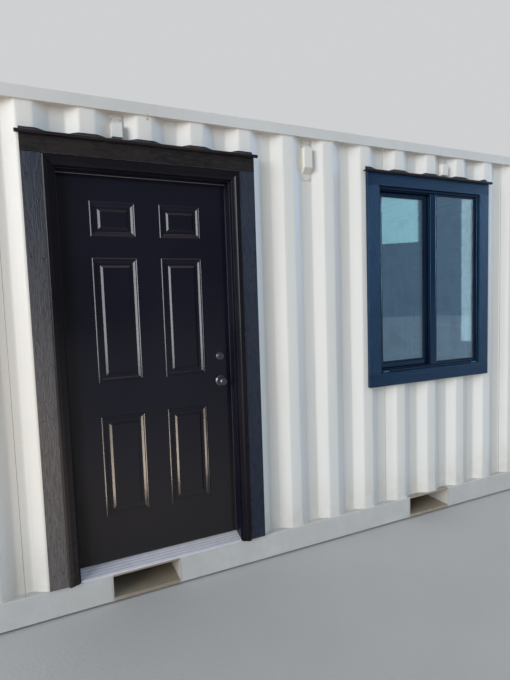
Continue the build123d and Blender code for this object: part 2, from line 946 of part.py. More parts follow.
def drip_cap(x0, x1, z):
    """Metal strip over a head board, with a rolled hem along its front edge."""
    y = -wall_face - board_thickness - cap_hem_radius
    hem = (y, z - cap_hem_drop)
    flat = Pos((y - wall_face) / 2, z + cap_steel / 2) * Rectangle(-wall_face - y, cap_steel)
    section = flat + Pos(*hem) * Circle(cap_hem_radius)
    section -= Pos(*hem) * Circle(cap_hem_radius - cap_hem_steel)
    plane = Plane(origin=(x0 - cap_overhang, 0, 0), x_dir=(0, 1, 0), z_dir=(1, 0, 0))
    return extrude(plane * section, amount=x1 - x0 + 2 * cap_overhang)


def drip_caps():
    door = drip_cap(trim_left, trim_right, head_top)
    window = drip_cap(window_trim_left, window_trim_right, window_trim_top)
    return [door, window]


def closure(x0, x1, z):
    """Filler over a drip cap: it follows the folds, and its top dips where they go in."""
    front = -wall_face - closure_proud
    folds = [(u, v - wall_face) for u, v in clipped(fold_line(), x0, x1)]
    high = z + closure_rise
    plan = along_z([(x0, front), (x1, front), *folds[::-1]], z, high)
    above = along_x([(front - 1, z + closure_lip), (-wall_face, high), (-wall_face, high + 1),
                     (front - 1, high + 1)], x0 - 1, x1 + 1)
    dips = [(u, high - closure_dip * share) for u, share in clipped(wave_line(), x0 - 1, x1 + 1)]
    over = along_y([*dips, (x1 + 1, high + 1), (x0 - 1, high + 1)], front - 1, wall_depth - wall_face)
    return plan - above - over


def fold_starts():
    """Places along the front wall where its outer flats begin."""
    count = math.ceil(half_length / wall_pitch) + 1
    return [wall_phase + n * wall_pitch for n in range(-count, count)]


def fold_line():
    """The wall's outer face as a broken line."""
    line = []
    for a in fold_starts():
        b = a + wall_flat
        c = b + wall_slope
        line += [(a, 0), (b, 0), (c, wall_depth), (a + wall_pitch - wall_slope, wall_depth)]
    return line


def wave_line():
    """A soft wave in step with the folds: 0 at the outer flats, 1 at the inner ones."""
    line = []
    for a in fold_starts():
        b = a + wall_flat
        d = a + wall_pitch - wall_slope
        ramp = [(1 - math.cos(math.pi * n / closure_steps)) / 2 for n in range(closure_steps + 1)]
        line += [(b + wall_slope * n / closure_steps, h) for n, h in enumerate(ramp)]
        line += [(d + wall_slope * n / closure_steps, 1 - h) for n, h in enumerate(ramp)]
    return line


def trim_closures():
    door = closure(trim_left, trim_right, head_top + cap_steel)
    window = closure(window_trim_left, window_trim_right, window_trim_top + cap_steel)
    return [door, window]


# Window

window_face = -wall_face - window_front
window_inner = window_face + window_depth


def window_frame_sides():
    left = block(window_left, window_left + window_member, window_face, window_inner,
                 window_bottom, window_top)
    right = block(window_right - window_member, window_right, window_face, window_inner,
                  window_bottom, window_top)
    return [left, right]


def window_frame_head_and_sill():
    x0 = window_left + window_member
    x1 = window_right - window_member
    head = block(x0, x1, window_face, window_inner, window_top - window_member, window_top)
    sill = block(x0, x1, window_face, window_inner, window_bottom,
                 window_bottom + window_member)
    return [head, sill]


sash_bottom = window_bottom + window_member
sash_top = window_top - window_member
fixed_y = window_face + sash_setback
sliding_y = fixed_y + sash_depth + track_gap
meeting_x = window_x + meeting_offset
sliding_span = (window_left + window_member, meeting_x + meeting_lap)
fixed_span = (meeting_x, window_right - window_member)


def glass_box(span, members, y0, grip):
    """Corners of the glass seen between the members, grown by grip on all sides."""
    left, right, bottom, top = members
    y = y0 + (sash_depth - glass_thickness) / 2
    return (span[0] + left - grip, span[1] - right + grip, y, y + glass_thickness,
            sash_bottom + bottom - grip, sash_top - top + grip)


def sash(span, members, y0):
    """A rectangular sash with sloping beads and a groove that holds its glass."""
    x0, x1, y1, y2, z0, z1 = glass_box(span, members, y0, 0)
    frame = block(*span, y0, y0 + sash_depth, sash_bottom, sash_top)
    frame -= block(x0, x1, y0 - 1, y0 + sash_depth + 1, z0, z1)
    b = bead_width
    frame -= tapered(x0 - b, x1 + b, z0 - b, z1 + b, y0, y1, b)
    return frame - block(*glass_box(span, members, y0, glass_grip))


def window_sashes():
    """The sliding sash on the left, behind, and the fixed one on the right."""
    return [sash(sliding_span, sliding_members, sliding_y),
            sash(fixed_span, fixed_members, fixed_y)]


def window_glass():
    return [block(*glass_box(sliding_span, sliding_members, sliding_y, glass_grip)),
            block(*glass_box(fixed_span, fixed_members, fixed_y, glass_grip))]


# Vents

def vent(n):
    """A small box vent with a flange above and below, screwed into one inner fold."""
    inner = wall_pitch - wall_flat - 2 * wall_slope
    x = wall_phase + n * wall_pitch + wall_flat + wall_slope + inner / 2
    y = -wall_face + wall_depth
    z1 = wall_top - vent_top_gap
    z0 = z1 - vent_height
    low = z0 + vent_bottom_flange
    front = y - vent_depth
    points = [(y, low), (front, low + vent_slant), (front, z1 - vent_top_flange),
              (y, z1 - vent_top_flange)]
    body = along_x(points, x - vent_body_width / 2, x + vent_body_width / 2)
    reach = vent_flange_width / 2
    body += block(x - reach, x + reach, y - vent_flange_thickness, y, z0, z1)
    for left, right, level in trimmed_spans():
        if left < x < right:
            body -= block(x - reach - 1, x + reach + 1, front - 1, y + 1, z0 - 1, level)
    return body


def trimmed_spans():
    """Stretches of wall with trim, and the level where the trim ends."""
    edge = cap_steel + closure_rise
    return ((trim_left, trim_right, head_top + edge),
            (window_trim_left, window_trim_right, window_trim_top + edge))


def wall_vents():
    return [vent(n) for n in vent_flats]


# Front wall segments around the openings

def front_wall():
    segments = {}
    segments["front_wall_left"] = side_sheet(-casting_inner_x, door_cut_left, rail_top, wall_top)
    segments["front_wall_over_door"] = side_sheet(
        door_cut_left, door_cut_right, door_cut_top, wall_top)
    segments["front_wall_middle"] = side_sheet(
        door_cut_right, window_cut_left, rail_top, wall_top)
    segments["front_wall_under_window"] = side_sheet(
        window_cut_left, window_cut_right, rail_top, window_cut_bottom)
    segments["front_wall_over_window"] = side_sheet(
        window_cut_left, window_cut_right, window_cut_top, wall_top)
    segments["front_wall_right"] = side_sheet(
        window_cut_right, casting_inner_x, rail_top, wall_top)
    return segments


def all_nodes():
    nodes = {
        "corner_castings": corner_castings(),
        "base_rails": base_rails(),
        "fork_pocket_sides": fork_pocket_sides(),
        "fork_pocket_plates": fork_pocket_plates(),
        "cross_members": cross_members(),
        "end_sills": [mirrored_x(end_sill(end_face)), end_sill(cargo_face)],
        "floor": floor(),
        "top_rails": [top_side_rail(), mirrored_y(top_side_rail())],
        "end_headers": [mirrored_x(end_header(end_face)), end_header(cargo_face)],
        "roof": roof(),
        "corner_posts": corner_posts(),
        "back_wall": back_wall(),
        "end_wall": end_wall(),
        "cargo_doors": [cargo_leaf(-1), cargo_leaf(1)],
        "lock_rods": lock_rods(),
        "cargo_door_hinges": cargo_hinges(),
        "wall_vents": wall_vents(),
        "opening_posts": opening_posts(),
        "opening_headers": opening_headers(),
        "door_jambs": door_jambs(),
        "door_head_jamb": door_head_jamb(),
        "door_sill": door_sill(),
        "door_brickmould_sides": brickmould_sides(),
        "door_brickmould_head": brickmould_head(),
        "door_trim_sides": door_trim_sides(),
        "door_trim_head": door_trim_head(),
        "drip_caps": drip_caps(),
        "trim_closures": trim_closures(),
        "door_slab": door_slab(),
        "jamb_hinge_leaves": hinge_pieces(door_left, -hinge_leaf, (0, 2), True),
        "slab_hinge_leaves": hinge_pieces(slab_left, hinge_leaf, (1,), False),
        "door_knobs": door_knobs(),
        "lock_fittings": lock_fittings(),
        "window_trim_sides": window_trim_sides(),
        "window_trim_head_and_sill": window_trim_head_and_sill(),
        "window_frame_sides": window_frame_sides(),
        "window_frame_head_and_sill": window_frame_head_and_sill(),
        "window_sashes": window_sashes(),
        "window_glass": window_glass(),
    }
    nodes.update(front_wall())
    return nodes


os.makedirs("parts", exist_ok=True)
for name, shape in all_nodes().items():
    pieces = shape if isinstance(shape, list) else [shape]
    solids = [solid for piece in pieces for solid in piece.solids()]
    node = Compound(children=solids) if len(solids) > 1 else solids[0]
    export_step(node, f"parts/{name}.step")
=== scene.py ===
import bmesh
import bpy
import json
import math
import random
from mathutils import Matrix, Quaternion, Vector, noise

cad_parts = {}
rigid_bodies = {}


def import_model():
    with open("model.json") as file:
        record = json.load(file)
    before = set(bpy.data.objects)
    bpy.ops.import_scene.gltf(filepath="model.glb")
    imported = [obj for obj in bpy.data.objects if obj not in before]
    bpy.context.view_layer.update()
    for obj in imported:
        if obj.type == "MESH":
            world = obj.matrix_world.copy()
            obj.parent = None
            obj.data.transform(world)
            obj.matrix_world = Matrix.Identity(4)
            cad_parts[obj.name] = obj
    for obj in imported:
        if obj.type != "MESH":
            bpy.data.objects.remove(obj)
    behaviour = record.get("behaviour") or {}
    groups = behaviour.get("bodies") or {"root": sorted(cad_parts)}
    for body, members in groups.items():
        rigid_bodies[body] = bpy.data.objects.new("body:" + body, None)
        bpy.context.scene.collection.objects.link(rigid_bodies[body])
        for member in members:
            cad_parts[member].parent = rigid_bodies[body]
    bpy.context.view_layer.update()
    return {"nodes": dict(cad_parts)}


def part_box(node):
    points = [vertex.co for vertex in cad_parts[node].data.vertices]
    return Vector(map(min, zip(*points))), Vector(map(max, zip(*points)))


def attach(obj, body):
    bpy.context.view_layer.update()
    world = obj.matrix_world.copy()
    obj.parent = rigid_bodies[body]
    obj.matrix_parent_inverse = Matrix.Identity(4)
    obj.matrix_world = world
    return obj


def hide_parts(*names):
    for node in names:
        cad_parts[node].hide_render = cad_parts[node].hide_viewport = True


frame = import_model()
nodes = frame["nodes"]

FRONT_WALLS = (
    "front_wall_left", "front_wall_over_door", "front_wall_middle", "front_wall_under_window",
    "front_wall_over_window", "front_wall_right")
MOULDING = ("door_brickmould_sides", "door_brickmould_head")
WINDOW_BLACKS = (
    "window_trim_sides", "window_trim_head_and_sill", "window_frame_sides", "window_frame_head_and_sill",
    "window_sashes")
BLACK_TRIM = (
    "closure_fillers", "drip_caps", "weep_covers", "door_jambs", "door_head_jamb", "door_trim_sides",
    "door_trim_head", *WINDOW_BLACKS)
DOOR_LOCKS = ("turned_knobs", "turned_roses")

# Sizes and places in metres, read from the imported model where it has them

WALL_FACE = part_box("front_wall_left")[0].y      # outer flats of the front wall
END_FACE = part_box("end_wall")[0].x
RAIL_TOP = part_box("back_wall")[0].z
WALL_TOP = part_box("back_wall")[1].z
WALL_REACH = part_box("back_wall")[1].x
BOARD_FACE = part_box("door_trim_sides")[0].y     # outer face of the flat trim boards
CARGO_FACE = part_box("cargo_doors")[1].x

SHEET = 0.002
SIDE_FOLDS = (0.278, 0.072, 0.068, 0.036, -0.108)    # pitch, outer flat, slope, depth, phase
END_FOLDS = (0.25, 0.11, 0.018, 0.046, -0.055)
FOLD_ROUND = 0.009
SEAM_FOLDS = (-10, -6, 2, 6)         # folds with an upright seam before their inner flat
SEAM_BREAK = (0.97, 2.41)            # the window's trim hides a seam between these levels
VENT_FOLDS = (-4, 0, 4)              # folds in whose inner flats the vents sit
OPEN_VENT_FOLD = 0                   # the vent here is whole; trim hides the foot of the others
VENT_HALF = 0.033
CATCH_LEVEL = 1.058                  # under side of the catches for the handles of the lock rods

leaf_low, leaf_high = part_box("door_slab")
SLAB_FRONT = leaf_low.y
SLAB_BACK = leaf_high.y
LEAF_TRIM = 0.0003                   # the dressed leaf is this much narrower on each side
LEAF_LEFT = leaf_low.x + LEAF_TRIM
LEAF_RIGHT = leaf_high.x - LEAF_TRIM
DOOR_MIDDLE = (leaf_low.x + leaf_high.x) / 2
STOP_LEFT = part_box("door_sill")[0].x
STOP_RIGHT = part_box("door_sill")[1].x
STOP_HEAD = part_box("door_head_jamb")[0].z
STOP_FACE = SLAB_FRONT - 0.005       # rear face of the stops, just before the closed leaf
JAMB_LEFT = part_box("door_head_jamb")[0].x
JAMB_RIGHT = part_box("door_head_jamb")[1].x
SILL_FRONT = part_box("door_sill")[0].y
SILL_RIB_PITCH = 0.009

# Panels of the door: how far they reach from its middle, and their levels above its foot
PANEL_REACH = (0.062, 0.2935)
PANEL_LEVELS = ((0.241, 0.786), (0.966, 1.616), (1.723, 1.903))
# A panel from its rim inwards: inset and depth of the bead, land, slope, floor and raised field
PANEL_PROFILE = (
    (0.0008, -0.0003), (0.0042, -0.0019), (0.005, -0.0021), (0.0058, -0.0021), (0.0066, -0.0019),
    (0.01, -0.0003), (0.0108, 0.0), (0.0146, 0.0002), (0.0154, 0.0005), (0.025, 0.0054), (0.026, 0.0058),
    (0.0274, 0.006), (0.038, 0.006), (0.0392, 0.0058), (0.04, 0.0055), (0.0496, 0.0009),
    (0.0504, 0.0006), (0.0516, 0.0004))

knob_low, knob_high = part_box("door_knobs")
LOCK_X = (knob_low.x + knob_high.x) / 2
KNOB_LEVEL = (knob_low.z + knob_high.z) / 2
ROSE_RADIUS = 0.033
BOLT_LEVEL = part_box("lock_fittings")[1].z - ROSE_RADIUS

# Turned shapes of the lock: pairs of radius and reach from the face of the leaf
KNOB_SHAPE = (
    (0.0108, 0.0), (0.0108, 0.012), (0.0115, 0.0165), (0.0105, 0.0205), (0.0112, 0.0245), (0.0145, 0.0285),
    (0.0192, 0.0335), (0.0228, 0.039), (0.0245, 0.0445), (0.0242, 0.0495), (0.0215, 0.0545),
    (0.0165, 0.058), (0.0135, 0.0588), (0.0132, 0.0572), (0.0085, 0.0572), (0.0083, 0.0584),
    (0.002, 0.0588))
SPINDLE_SHAPE = ((0.0058, 0.0), (0.0058, 0.0485))
ROSE_SHAPE = (
    (ROSE_RADIUS, 0.0), (ROSE_RADIUS, 0.002), (0.0322, 0.0032), (0.0295, 0.0042), (0.0268, 0.0066),
    (0.0235, 0.0078), (0.0165, 0.008), (0.0125, 0.0076), (0.0113, 0.0068), (0.0113, 0.0))
CYLINDER_SHAPE = (
    (0.026, 0.0), (0.026, 0.0042), (0.0252, 0.0058), (0.0238, 0.0066), (0.0228, 0.014), (0.0205, 0.0172),
    (0.0178, 0.0179), (0.0138, 0.0176), (0.0134, 0.0158), (0.0095, 0.0158), (0.0092, 0.0168),
    (0.002, 0.0168))
PLATE_SHAPE = ((ROSE_RADIUS, 0.0), (ROSE_RADIUS, 0.003), (0.031, 0.0055), (0.027, 0.0078), (0.002, 0.008))

# Sight size of the panes: left, right, bottom, top and outer face
FIXED_PANE = (1.093, 1.458, 1.099, 2.253, -1.200)
SLIDING_PANE = (0.640, 0.996, 1.128, 2.227, -1.168)
SASH_MEETING = 1.034                 # right end of the sliding sash

# Camera, as the photograph was taken: place, turn to the right, tilt, roll, focal length
CAMERA_PLACE = (-1.4465, -3.6652, 1.5515)
CAMERA_YAW = 0.4279
CAMERA_PITCH = -0.0785
CAMERA_ROLL = -0.0322
CAMERA_LENS = 24.65
SENSOR = 36.0
EYE_LEVEL = CAMERA_PLACE[2]


class Shading:
    """A node tree that is built up step by step from one set of coordinates."""

    def __init__(self, tree, coordinates):
        self.nodes = tree.nodes
        self.links = tree.links
        self.place = self.node("TexCoord", coordinates, {})

    def feed(self, socket, value):
        """Links an output to a socket, or sets the socket to a plain value."""
        if isinstance(value, bpy.types.NodeSocket):
            self.links.new(value, socket)
        elif socket.type == "RGBA":
            socket.default_value = (*value, 1)
        else:
            socket.default_value = value

    def node(self, kind, output, inputs, **settings):
        """Adds a node with its settings, feeds its inputs and returns one of its outputs."""
        node = self.nodes.new("ShaderNode" + kind)
        for key, value in settings.items():
            setattr(node, key, value)
        for key, value in inputs.items():
            self.feed(node.inputs[key], value)
        return node.outputs[output]

    def noise(self, scale, detail=4.0, roughness=0.55, stretch=(1, 1, 1), warp=0.0):
        place = self.node("Mapping", "Vector", {"Vector": self.place, "Scale": stretch})
        settings = {"Scale": scale, "Detail": detail, "Roughness": roughness, "Distortion": warp}
        return self.node("TexNoise", "Fac", {"Vector": place, **settings})

    def ramp(self, value, *stops):
        """Maps a value to grey levels or colours at given places."""
        node = self.nodes.new("ShaderNodeValToRGB")
        points = node.color_ramp.elements
        while len(points) < len(stops):
            points.new(0.5)
        for point, (place, colour) in zip(points, stops):
            point.position = place
            point.color = (*colour, 1) if isinstance(colour, tuple) else (colour, colour, colour, 1)
        self.feed(node.inputs["Fac"], value)
        return node.outputs["Color"]

    def patches(self, low, high, *noise, **stretch):
        """Noise as a mask: 0 up to its low value, 1 from its high value on."""
        return self.ramp(self.noise(*noise, **stretch), (low, 0.0), (high, 1.0))

    def math(self, operation, a, b=0.0, clamp=False):
        return self.node("Math", 0, {0: a, 1: b}, operation=operation, use_clamp=clamp)

    def plus(self, a, b):
        return self.math("ADD", a, b)

    def times(self, a, b):
        return self.math("MULTIPLY", a, b)

    def mix(self, factor, a, b):
        return self.node("Mix", "Result", {"Factor": factor, "A": a, "B": b}, data_type="RGBA")

    def cover(self, base, mask, share, colour):
        """Lays a colour over a base where a mask shows it, as strongly as the share says."""
        return self.mix(self.times(mask, share), base, colour)

    def axis(self, letter):
        return self.node("SeparateXYZ", letter.upper(), {0: self.place})

    def vector_math(self, operation, vector):
        return self.node("VectorMath", "Value", {0: self.place, 1: vector}, operation=operation)

    def band(self, value, start, end):
        """0 at start, 1 at end, smooth between and held beyond."""
        first, last = (0.0, 1.0) if start < end else (1.0, 0.0)
        span = {"From Min": min(start, end), "From Max": max(start, end), "To Min": first, "To Max": last}
        return self.node("MapRange", "Result", {"Value": value, **span}, interpolation_type="SMOOTHSTEP")

    def bump(self, height, distance, strength=1.0, after=None):
        inputs = {"Height": height, "Distance": distance, "Strength": strength}
        if after is not None:
            inputs["Normal"] = after
        return self.node("Bump", "Normal", inputs)


class Surface(Shading):
    """A node material around one Principled shader."""

    def __init__(self, name, **settings):
        self.material = bpy.data.materials.new(name)
        self.material.use_nodes = True
        super().__init__(self.material.node_tree, "Object")
        self.set(**settings)

    def set(self, **values):
        for key, value in values.items():
            self.feed(self.nodes["Principled BSDF"].inputs[key.replace("_", " ")], value)
        return self.material


# Materials

DUST = (0.42, 0.34, 0.24)
LEFT_SIDE = (-1.2, -1.45)            # the trim left of the door is paler and browner, more so low down: dust, and painted warm light from the left


def painted_steel(name, colour, shade, dirt, dirt_top, rust=0.0, gloss=0.42, rust_spot=None):
    """Off-white satin paint over steel, with dust low down, runs, dents and rust where it starts."""
    s = Surface(name, Specular_IOR_Level=0.5)
    patches = s.noise(1.3, 5, 0.6, stretch=(1, 1, 0.35))
    paint = s.mix(s.ramp(patches, (0.35, 0.0), (0.7, 1.0)), colour, shade)
    runs = s.noise(9, 4, 0.6, stretch=(3.2, 3.2, 0.12))
    paint = s.mix(s.times(s.ramp(runs, (0.55, 0.0), (0.85, 1.0)), 0.1), paint, dirt)
    cloud = s.noise(11, 6, 0.65)
    low = s.times(s.band(s.axis("z"), dirt_top, 0.1), s.ramp(cloud, (0.3, 0.25), (0.72, 1.0)))
    paint = s.cover(paint, low, 0.4, dirt)
    specks = s.patches(0.69, 0.76, 160, 2, 0.5)
    paint = s.cover(paint, specks, 0.16, dirt)
    rough = s.plus(s.times(cloud, 0.16), gloss - 0.08)
    if rust:
        chips = s.ramp(s.noise(21, 8, 0.68), (0.7 - 0.07 * rust, 0.0), (0.735 - 0.05 * rust, 1.0))
        where = s.band(s.noise(2.1, 3, 0.5), 0.45, 0.62)
        mask = s.times(chips, s.times(where, min(1.0, rust)))
        if rust_spot:
            point, radius = rust_spot
            near = s.band(s.vector_math("DISTANCE", point), radius, 0.0)
            grain = s.ramp(s.noise(60, 5, 0.6), (0.42, 0.25), (0.6, 1.0))
            mask = s.math("MAXIMUM", mask, s.times(near, grain))
        tone = s.ramp(s.noise(70, 5, 0.6), (0.35, (0.16, 0.055, 0.02)), (0.65, (0.42, 0.2, 0.08)))
        paint = s.mix(mask, paint, tone)
        rough = s.math("ADD", rough, s.times(mask, 0.4), clamp=True)
    orange_peel = s.bump(s.noise(420, 2, 0.5), 0.0004, 0.35)
    dents = s.bump(s.noise(3.4, 3, 0.5, stretch=(1, 1, 0.5)), 0.004, 0.5, after=orange_peel)
    return s.set(Base_Color=paint, Roughness=rough, Normal=dents)


def rusty_steel(name, colour, rust):
    """Dark coating on the parts below and inside, with rust and dust."""
    s = Surface(name)
    patch = s.ramp(s.noise(14, 7, 0.65), (0.62 - 0.25 * rust, 0.0), (0.72 - 0.15 * rust, 1.0))
    tone = s.ramp(s.noise(45, 5, 0.6), (0.3, (0.1, 0.04, 0.02)), (0.7, (0.3, 0.14, 0.06)))
    paint = s.mix(patch, colour, tone)
    dust = s.patches(0.4, 0.75, 5, 4, 0.6)
    paint = s.cover(paint, dust, 0.3, (0.36, 0.3, 0.22))
    rough = s.plus(0.5, s.times(patch, 0.35))
    return s.set(Base_Color=paint, Roughness=rough, Normal=s.bump(s.noise(240, 4, 0.6), 0.0006, 0.6))


def plywood(name):
    """Worn floor panels with grain, joints between the sheets and scuffs."""
    s = Surface(name)
    sheet_length = 1.22
    grain = s.noise(14, 6, 0.62, stretch=(0.35, 7, 1), warp=0.6)
    wood = s.ramp(grain, (0.3, (0.17, 0.085, 0.042)), (0.52, (0.3, 0.165, 0.085)), (0.7, (0.4, 0.24, 0.13)))
    scuff = s.patches(0.5, 0.7, 5, 6, 0.7, stretch=(2.5, 0.6, 1))
    wood = s.cover(wood, scuff, 0.45, (0.2, 0.16, 0.12))
    sheet = s.math("FRACT", s.math("DIVIDE", s.axis("x"), sheet_length))
    joint = s.math("ADD", s.band(sheet, 0.003, 0.0), s.band(sheet, 0.997, 1.0), clamp=True)
    wood = s.mix(joint, wood, (0.03, 0.02, 0.015))
    rough = s.plus(0.5, s.times(grain, 0.3))
    relief = s.bump(grain, 0.0008, 0.5, after=s.bump(joint, -0.003, 1.0))
    return s.set(Base_Color=wood, Roughness=rough, Normal=relief)


def galvanised(name):
    """Zinc on steel: soft spangle, white bloom and a little rust."""
    s = Surface(name, Metallic=0.9)
    spangle = s.node("TexVoronoi", "Distance", {"Vector": s.place, "Scale": 55})
    zinc = s.mix(spangle, (0.42, 0.43, 0.45), (0.6, 0.61, 0.63))
    bloom = s.patches(0.45, 0.7, 12, 6, 0.65)
    zinc = s.cover(zinc, bloom, 0.4, (0.55, 0.55, 0.53))
    rust = s.patches(0.66, 0.72, 30, 7, 0.7)
    zinc = s.cover(zinc, rust, 0.7, (0.24, 0.1, 0.05))
    rough = s.plus(0.36, s.times(spangle, 0.2))
    return s.set(Base_Color=zinc, Roughness=rough, Normal=s.bump(s.noise(300, 3, 0.5), 0.0003, 0.5))


def embossed_board(name, along, colour, worn, sheen, shine=0.5, patchy=0.35, tint=(1, 1, 1)):
    """Trim board painted black, with a pressed cedar grain that runs along it."""
    fine_way = {"x": (0.05, 1, 1), "z": (1, 1, 0.05)}[along]
    broad_way = {"x": (0.3, 1, 1), "z": (1, 1, 0.3)}[along]
    s = Surface(name, Specular_IOR_Level=shine, Specular_Tint=tint)
    fibre = s.noise(160, 5, 0.7, stretch=fine_way, warp=0.25)
    broad = s.noise(75, 4, 0.62, stretch=broad_way, warp=0.9)
    grain = s.plus(s.times(fibre, 0.4), s.times(broad, 0.6))
    blotch = s.patches(0.35, 0.7, 4.5, 5, 0.6)
    paint = s.mix(s.ramp(grain, (0.42, 0.0), (0.62, 1.0)), colour, worn)
    paint = s.mix(s.times(blotch, patchy), paint, worn)
    # Paler brown left of the door, stronger low down: dust in the grain, and painted warm light from the
    # left
    warm_left = s.times(s.band(s.axis("x"), *LEFT_SIDE), s.band(s.axis("z"), 2.4, 0.6))
    paint = s.mix(s.times(warm_left, s.times(grain, 0.9)), paint, (0.19, 0.165, 0.14))
    rough = s.plus(sheen, s.times(grain, 0.3))
    relief = s.bump(s.ramp(grain, (0.36, 0.0), (0.6, 1.0)), 0.0018, 0.9)
    return s.set(Base_Color=paint, Roughness=rough, Normal=relief)


def smooth_black(name, colour, worn, rough, shine=0.5, tint=(1, 1, 1), grain=(240, 0.0003), warm_left=False):
    """Satin black on wood, steel or vinyl, with faint dust and handling marks."""
    s = Surface(name, Specular_IOR_Level=shine, Specular_Tint=tint)
    haze = s.patches(0.4, 0.75, 3.1, 6, 0.62)
    marks = s.patches(0.6, 0.8, 38, 5, 0.7, stretch=(1, 1, 0.3))
    veil = s.times(s.math("MAXIMUM", haze, marks), 0.25)
    paint = s.mix(veil, colour, worn)
    # Paler brown low on the left: dust, and painted warm light from the left
    if warm_left:
        low = s.times(s.band(s.axis("x"), *LEFT_SIDE), s.band(s.axis("z"), 1.6, 0.3))
        paint = s.cover(paint, low, 0.55, (0.09, 0.072, 0.064))
    roughness = s.math("ADD", rough, s.times(veil, 0.5), clamp=True)
    scale, depth = grain
    relief = s.bump(s.noise(scale, 3, 0.55), depth, 0.5)
    relief = s.bump(s.noise(7, 2, 0.5), 0.001, 0.25, after=relief)
    return s.set(Base_Color=paint, Roughness=roughness, Normal=relief)


def door_paint(name):
    """Black door skin: fine grain lines pressed along the leaf, a low sheen, a paler, warmer foot that is a
    painted reflection of the lit ground, and scuffs near the foot.
    """
    s = Surface(name, Specular_IOR_Level=0.3)
    height = s.axis("z")
    grain = s.noise(210, 4, 0.6, stretch=(1, 1, 0.06), warp=0.2)
    haze = s.patches(0.35, 0.8, 1.7, 5, 0.6)
    paint = s.mix(haze, (0.0012, 0.0014, 0.005), (0.003, 0.0032, 0.008))
    # Paler and warmer towards the foot: a painted reflection of the lit ground
    paint = s.mix(s.times(s.band(height, 1.15, 0.3), 0.7), paint, (0.0135, 0.0118, 0.0122))
    scuff = s.patches(0.68, 0.75, 26, 6, 0.7)
    paint = s.mix(s.times(s.times(scuff, s.band(height, 0.75, 0.2)), 0.5), paint, (0.09, 0.08, 0.07))
    rough = s.plus(0.16, s.times(haze, 0.06))
    relief = s.bump(grain, 0.00005, 0.15, after=s.bump(s.noise(2.6, 2, 0.4), 0.001, 0.1))
    return s.set(Base_Color=paint, Roughness=rough, Normal=relief)


def threshold_metal(name):
    """Mill aluminium with a lilac cast, dirt in every second groove, scuffed where feet pass."""
    s = Surface(name, Metallic=0.15)
    brushed = s.noise(260, 4, 0.6, stretch=(0.04, 1, 1))
    metal = s.mix(brushed, (0.6, 0.58, 0.63), (0.84, 0.82, 0.87))
    dust = s.patches(0.42, 0.72, 18, 6, 0.65)
    metal = s.cover(metal, dust, 0.3, (0.42, 0.38, 0.33))
    rib = s.math("FRACT", s.math("DIVIDE", s.math("SUBTRACT", s.axis("y"), SILL_FRONT), 2 * SILL_RIB_PITCH))
    groove = s.times(s.band(rib, 0.5, 0.75), s.band(rib, 1.0, 0.85))
    metal = s.cover(metal, groove, 0.45, (0.24, 0.23, 0.25))
    rough = s.plus(0.34, s.times(dust, 0.3))
    return s.set(Base_Color=metal, Roughness=rough, Normal=s.bump(brushed, 0.0003, 0.5))


def brushed_steel(name, dark, light, rough):
    s = Surface(name, Metallic=1.0)
    lines = s.noise(420, 3, 0.6, stretch=(1, 1, 0.08))
    roughness = s.plus(rough, s.times(lines, 0.18))
    metal = s.mix(lines, dark, light)
    return s.set(Base_Color=metal, Roughness=roughness, Normal=s.bump(lines, 0.0002, 0.4))


def window_pane(name):
    """Clear glass with a faint blue coat, dust in patches and a slight ripple."""
    s = Surface(name, Transmission_Weight=1.0, IOR=1.62, Specular_Tint=(0.8, 0.95, 1.0))
    dust = s.patches(0.5, 0.85, 6, 6, 0.65)
    tint = s.mix(dust, (0.66, 0.76, 0.8), (0.58, 0.66, 0.68))
    ripple = s.bump(s.noise(2.2, 2, 0.4), 0.0006, 0.2)
    return s.set(Base_Color=tint, Roughness=s.times(dust, 0.05), Normal=ripple)


def rubber(name, colour, rough):
    s = Surface(name, Specular_IOR_Level=0.35, Roughness=rough)
    dust = s.patches(0.4, 0.8, 24, 5, 0.6)
    tone = s.cover(colour, dust, 0.3, (0.1, 0.095, 0.085))
    return s.set(Base_Color=tone, Normal=s.bump(s.noise(350, 3, 0.5), 0.0003, 0.5))


def caulk(name):
    """Paintable sealant, paler near the head of the door where it has been wiped."""
    s = Surface(name, Specular_IOR_Level=0.5, Roughness=0.4)
    wiped = s.patches(0.4, 0.65, 34, 4, 0.6, stretch=(1, 1, 0.2))
    high = s.band(s.axis("z"), 1.8, 2.2)
    tone = s.mix(s.times(wiped, high), (0.008, 0.008, 0.01), (0.1, 0.1, 0.105))
    return s.set(Base_Color=tone, Normal=s.bump(s.noise(120, 3, 0.5), 0.0006, 0.6))


CREAM = (0.76, 0.744, 0.7)
CREAM_SHADE = (0.7, 0.687, 0.65)
# Blue tint of the gloss on the black window parts: a painted reflection of the blue sky
SKY_REFLECTION_TINT = (0.35, 0.7, 1.0)
WALL_RUST = ((-0.889, WALL_FACE, 2.511), 0.013)      # a spot over the door, and its radius
RAIL_RUST = ((-0.889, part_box("top_rails")[0].y, 2.528), 0.009)

WALL_PAINT = painted_steel("wall_paint", CREAM, CREAM_SHADE, DUST, 0.5, 0.25, rust_spot=WALL_RUST)
RAIL_PAINT = painted_steel(
    "rail_paint", (0.66, 0.655, 0.63), (0.57, 0.565, 0.54), DUST, 0.42, 0.35, gloss=0.5, rust_spot=RAIL_RUST)
BASE_RAIL_PAINT = painted_steel(
    "base_rail_paint", (0.58, 0.585, 0.58), (0.5, 0.505, 0.5), DUST, 0.42, 0.35, gloss=0.5)
# Dark beads of the wall seams and round the vents: dirt, and painted shade where seams and flanges cast thin
# shadows
SEAM_DIRT_AND_SHADE = painted_steel("seam_dirt_and_shade", (0.4, 0.36, 0.29), (0.3, 0.27, 0.22), (0.2, 0.16, 0.1), 0.5, 0.5)
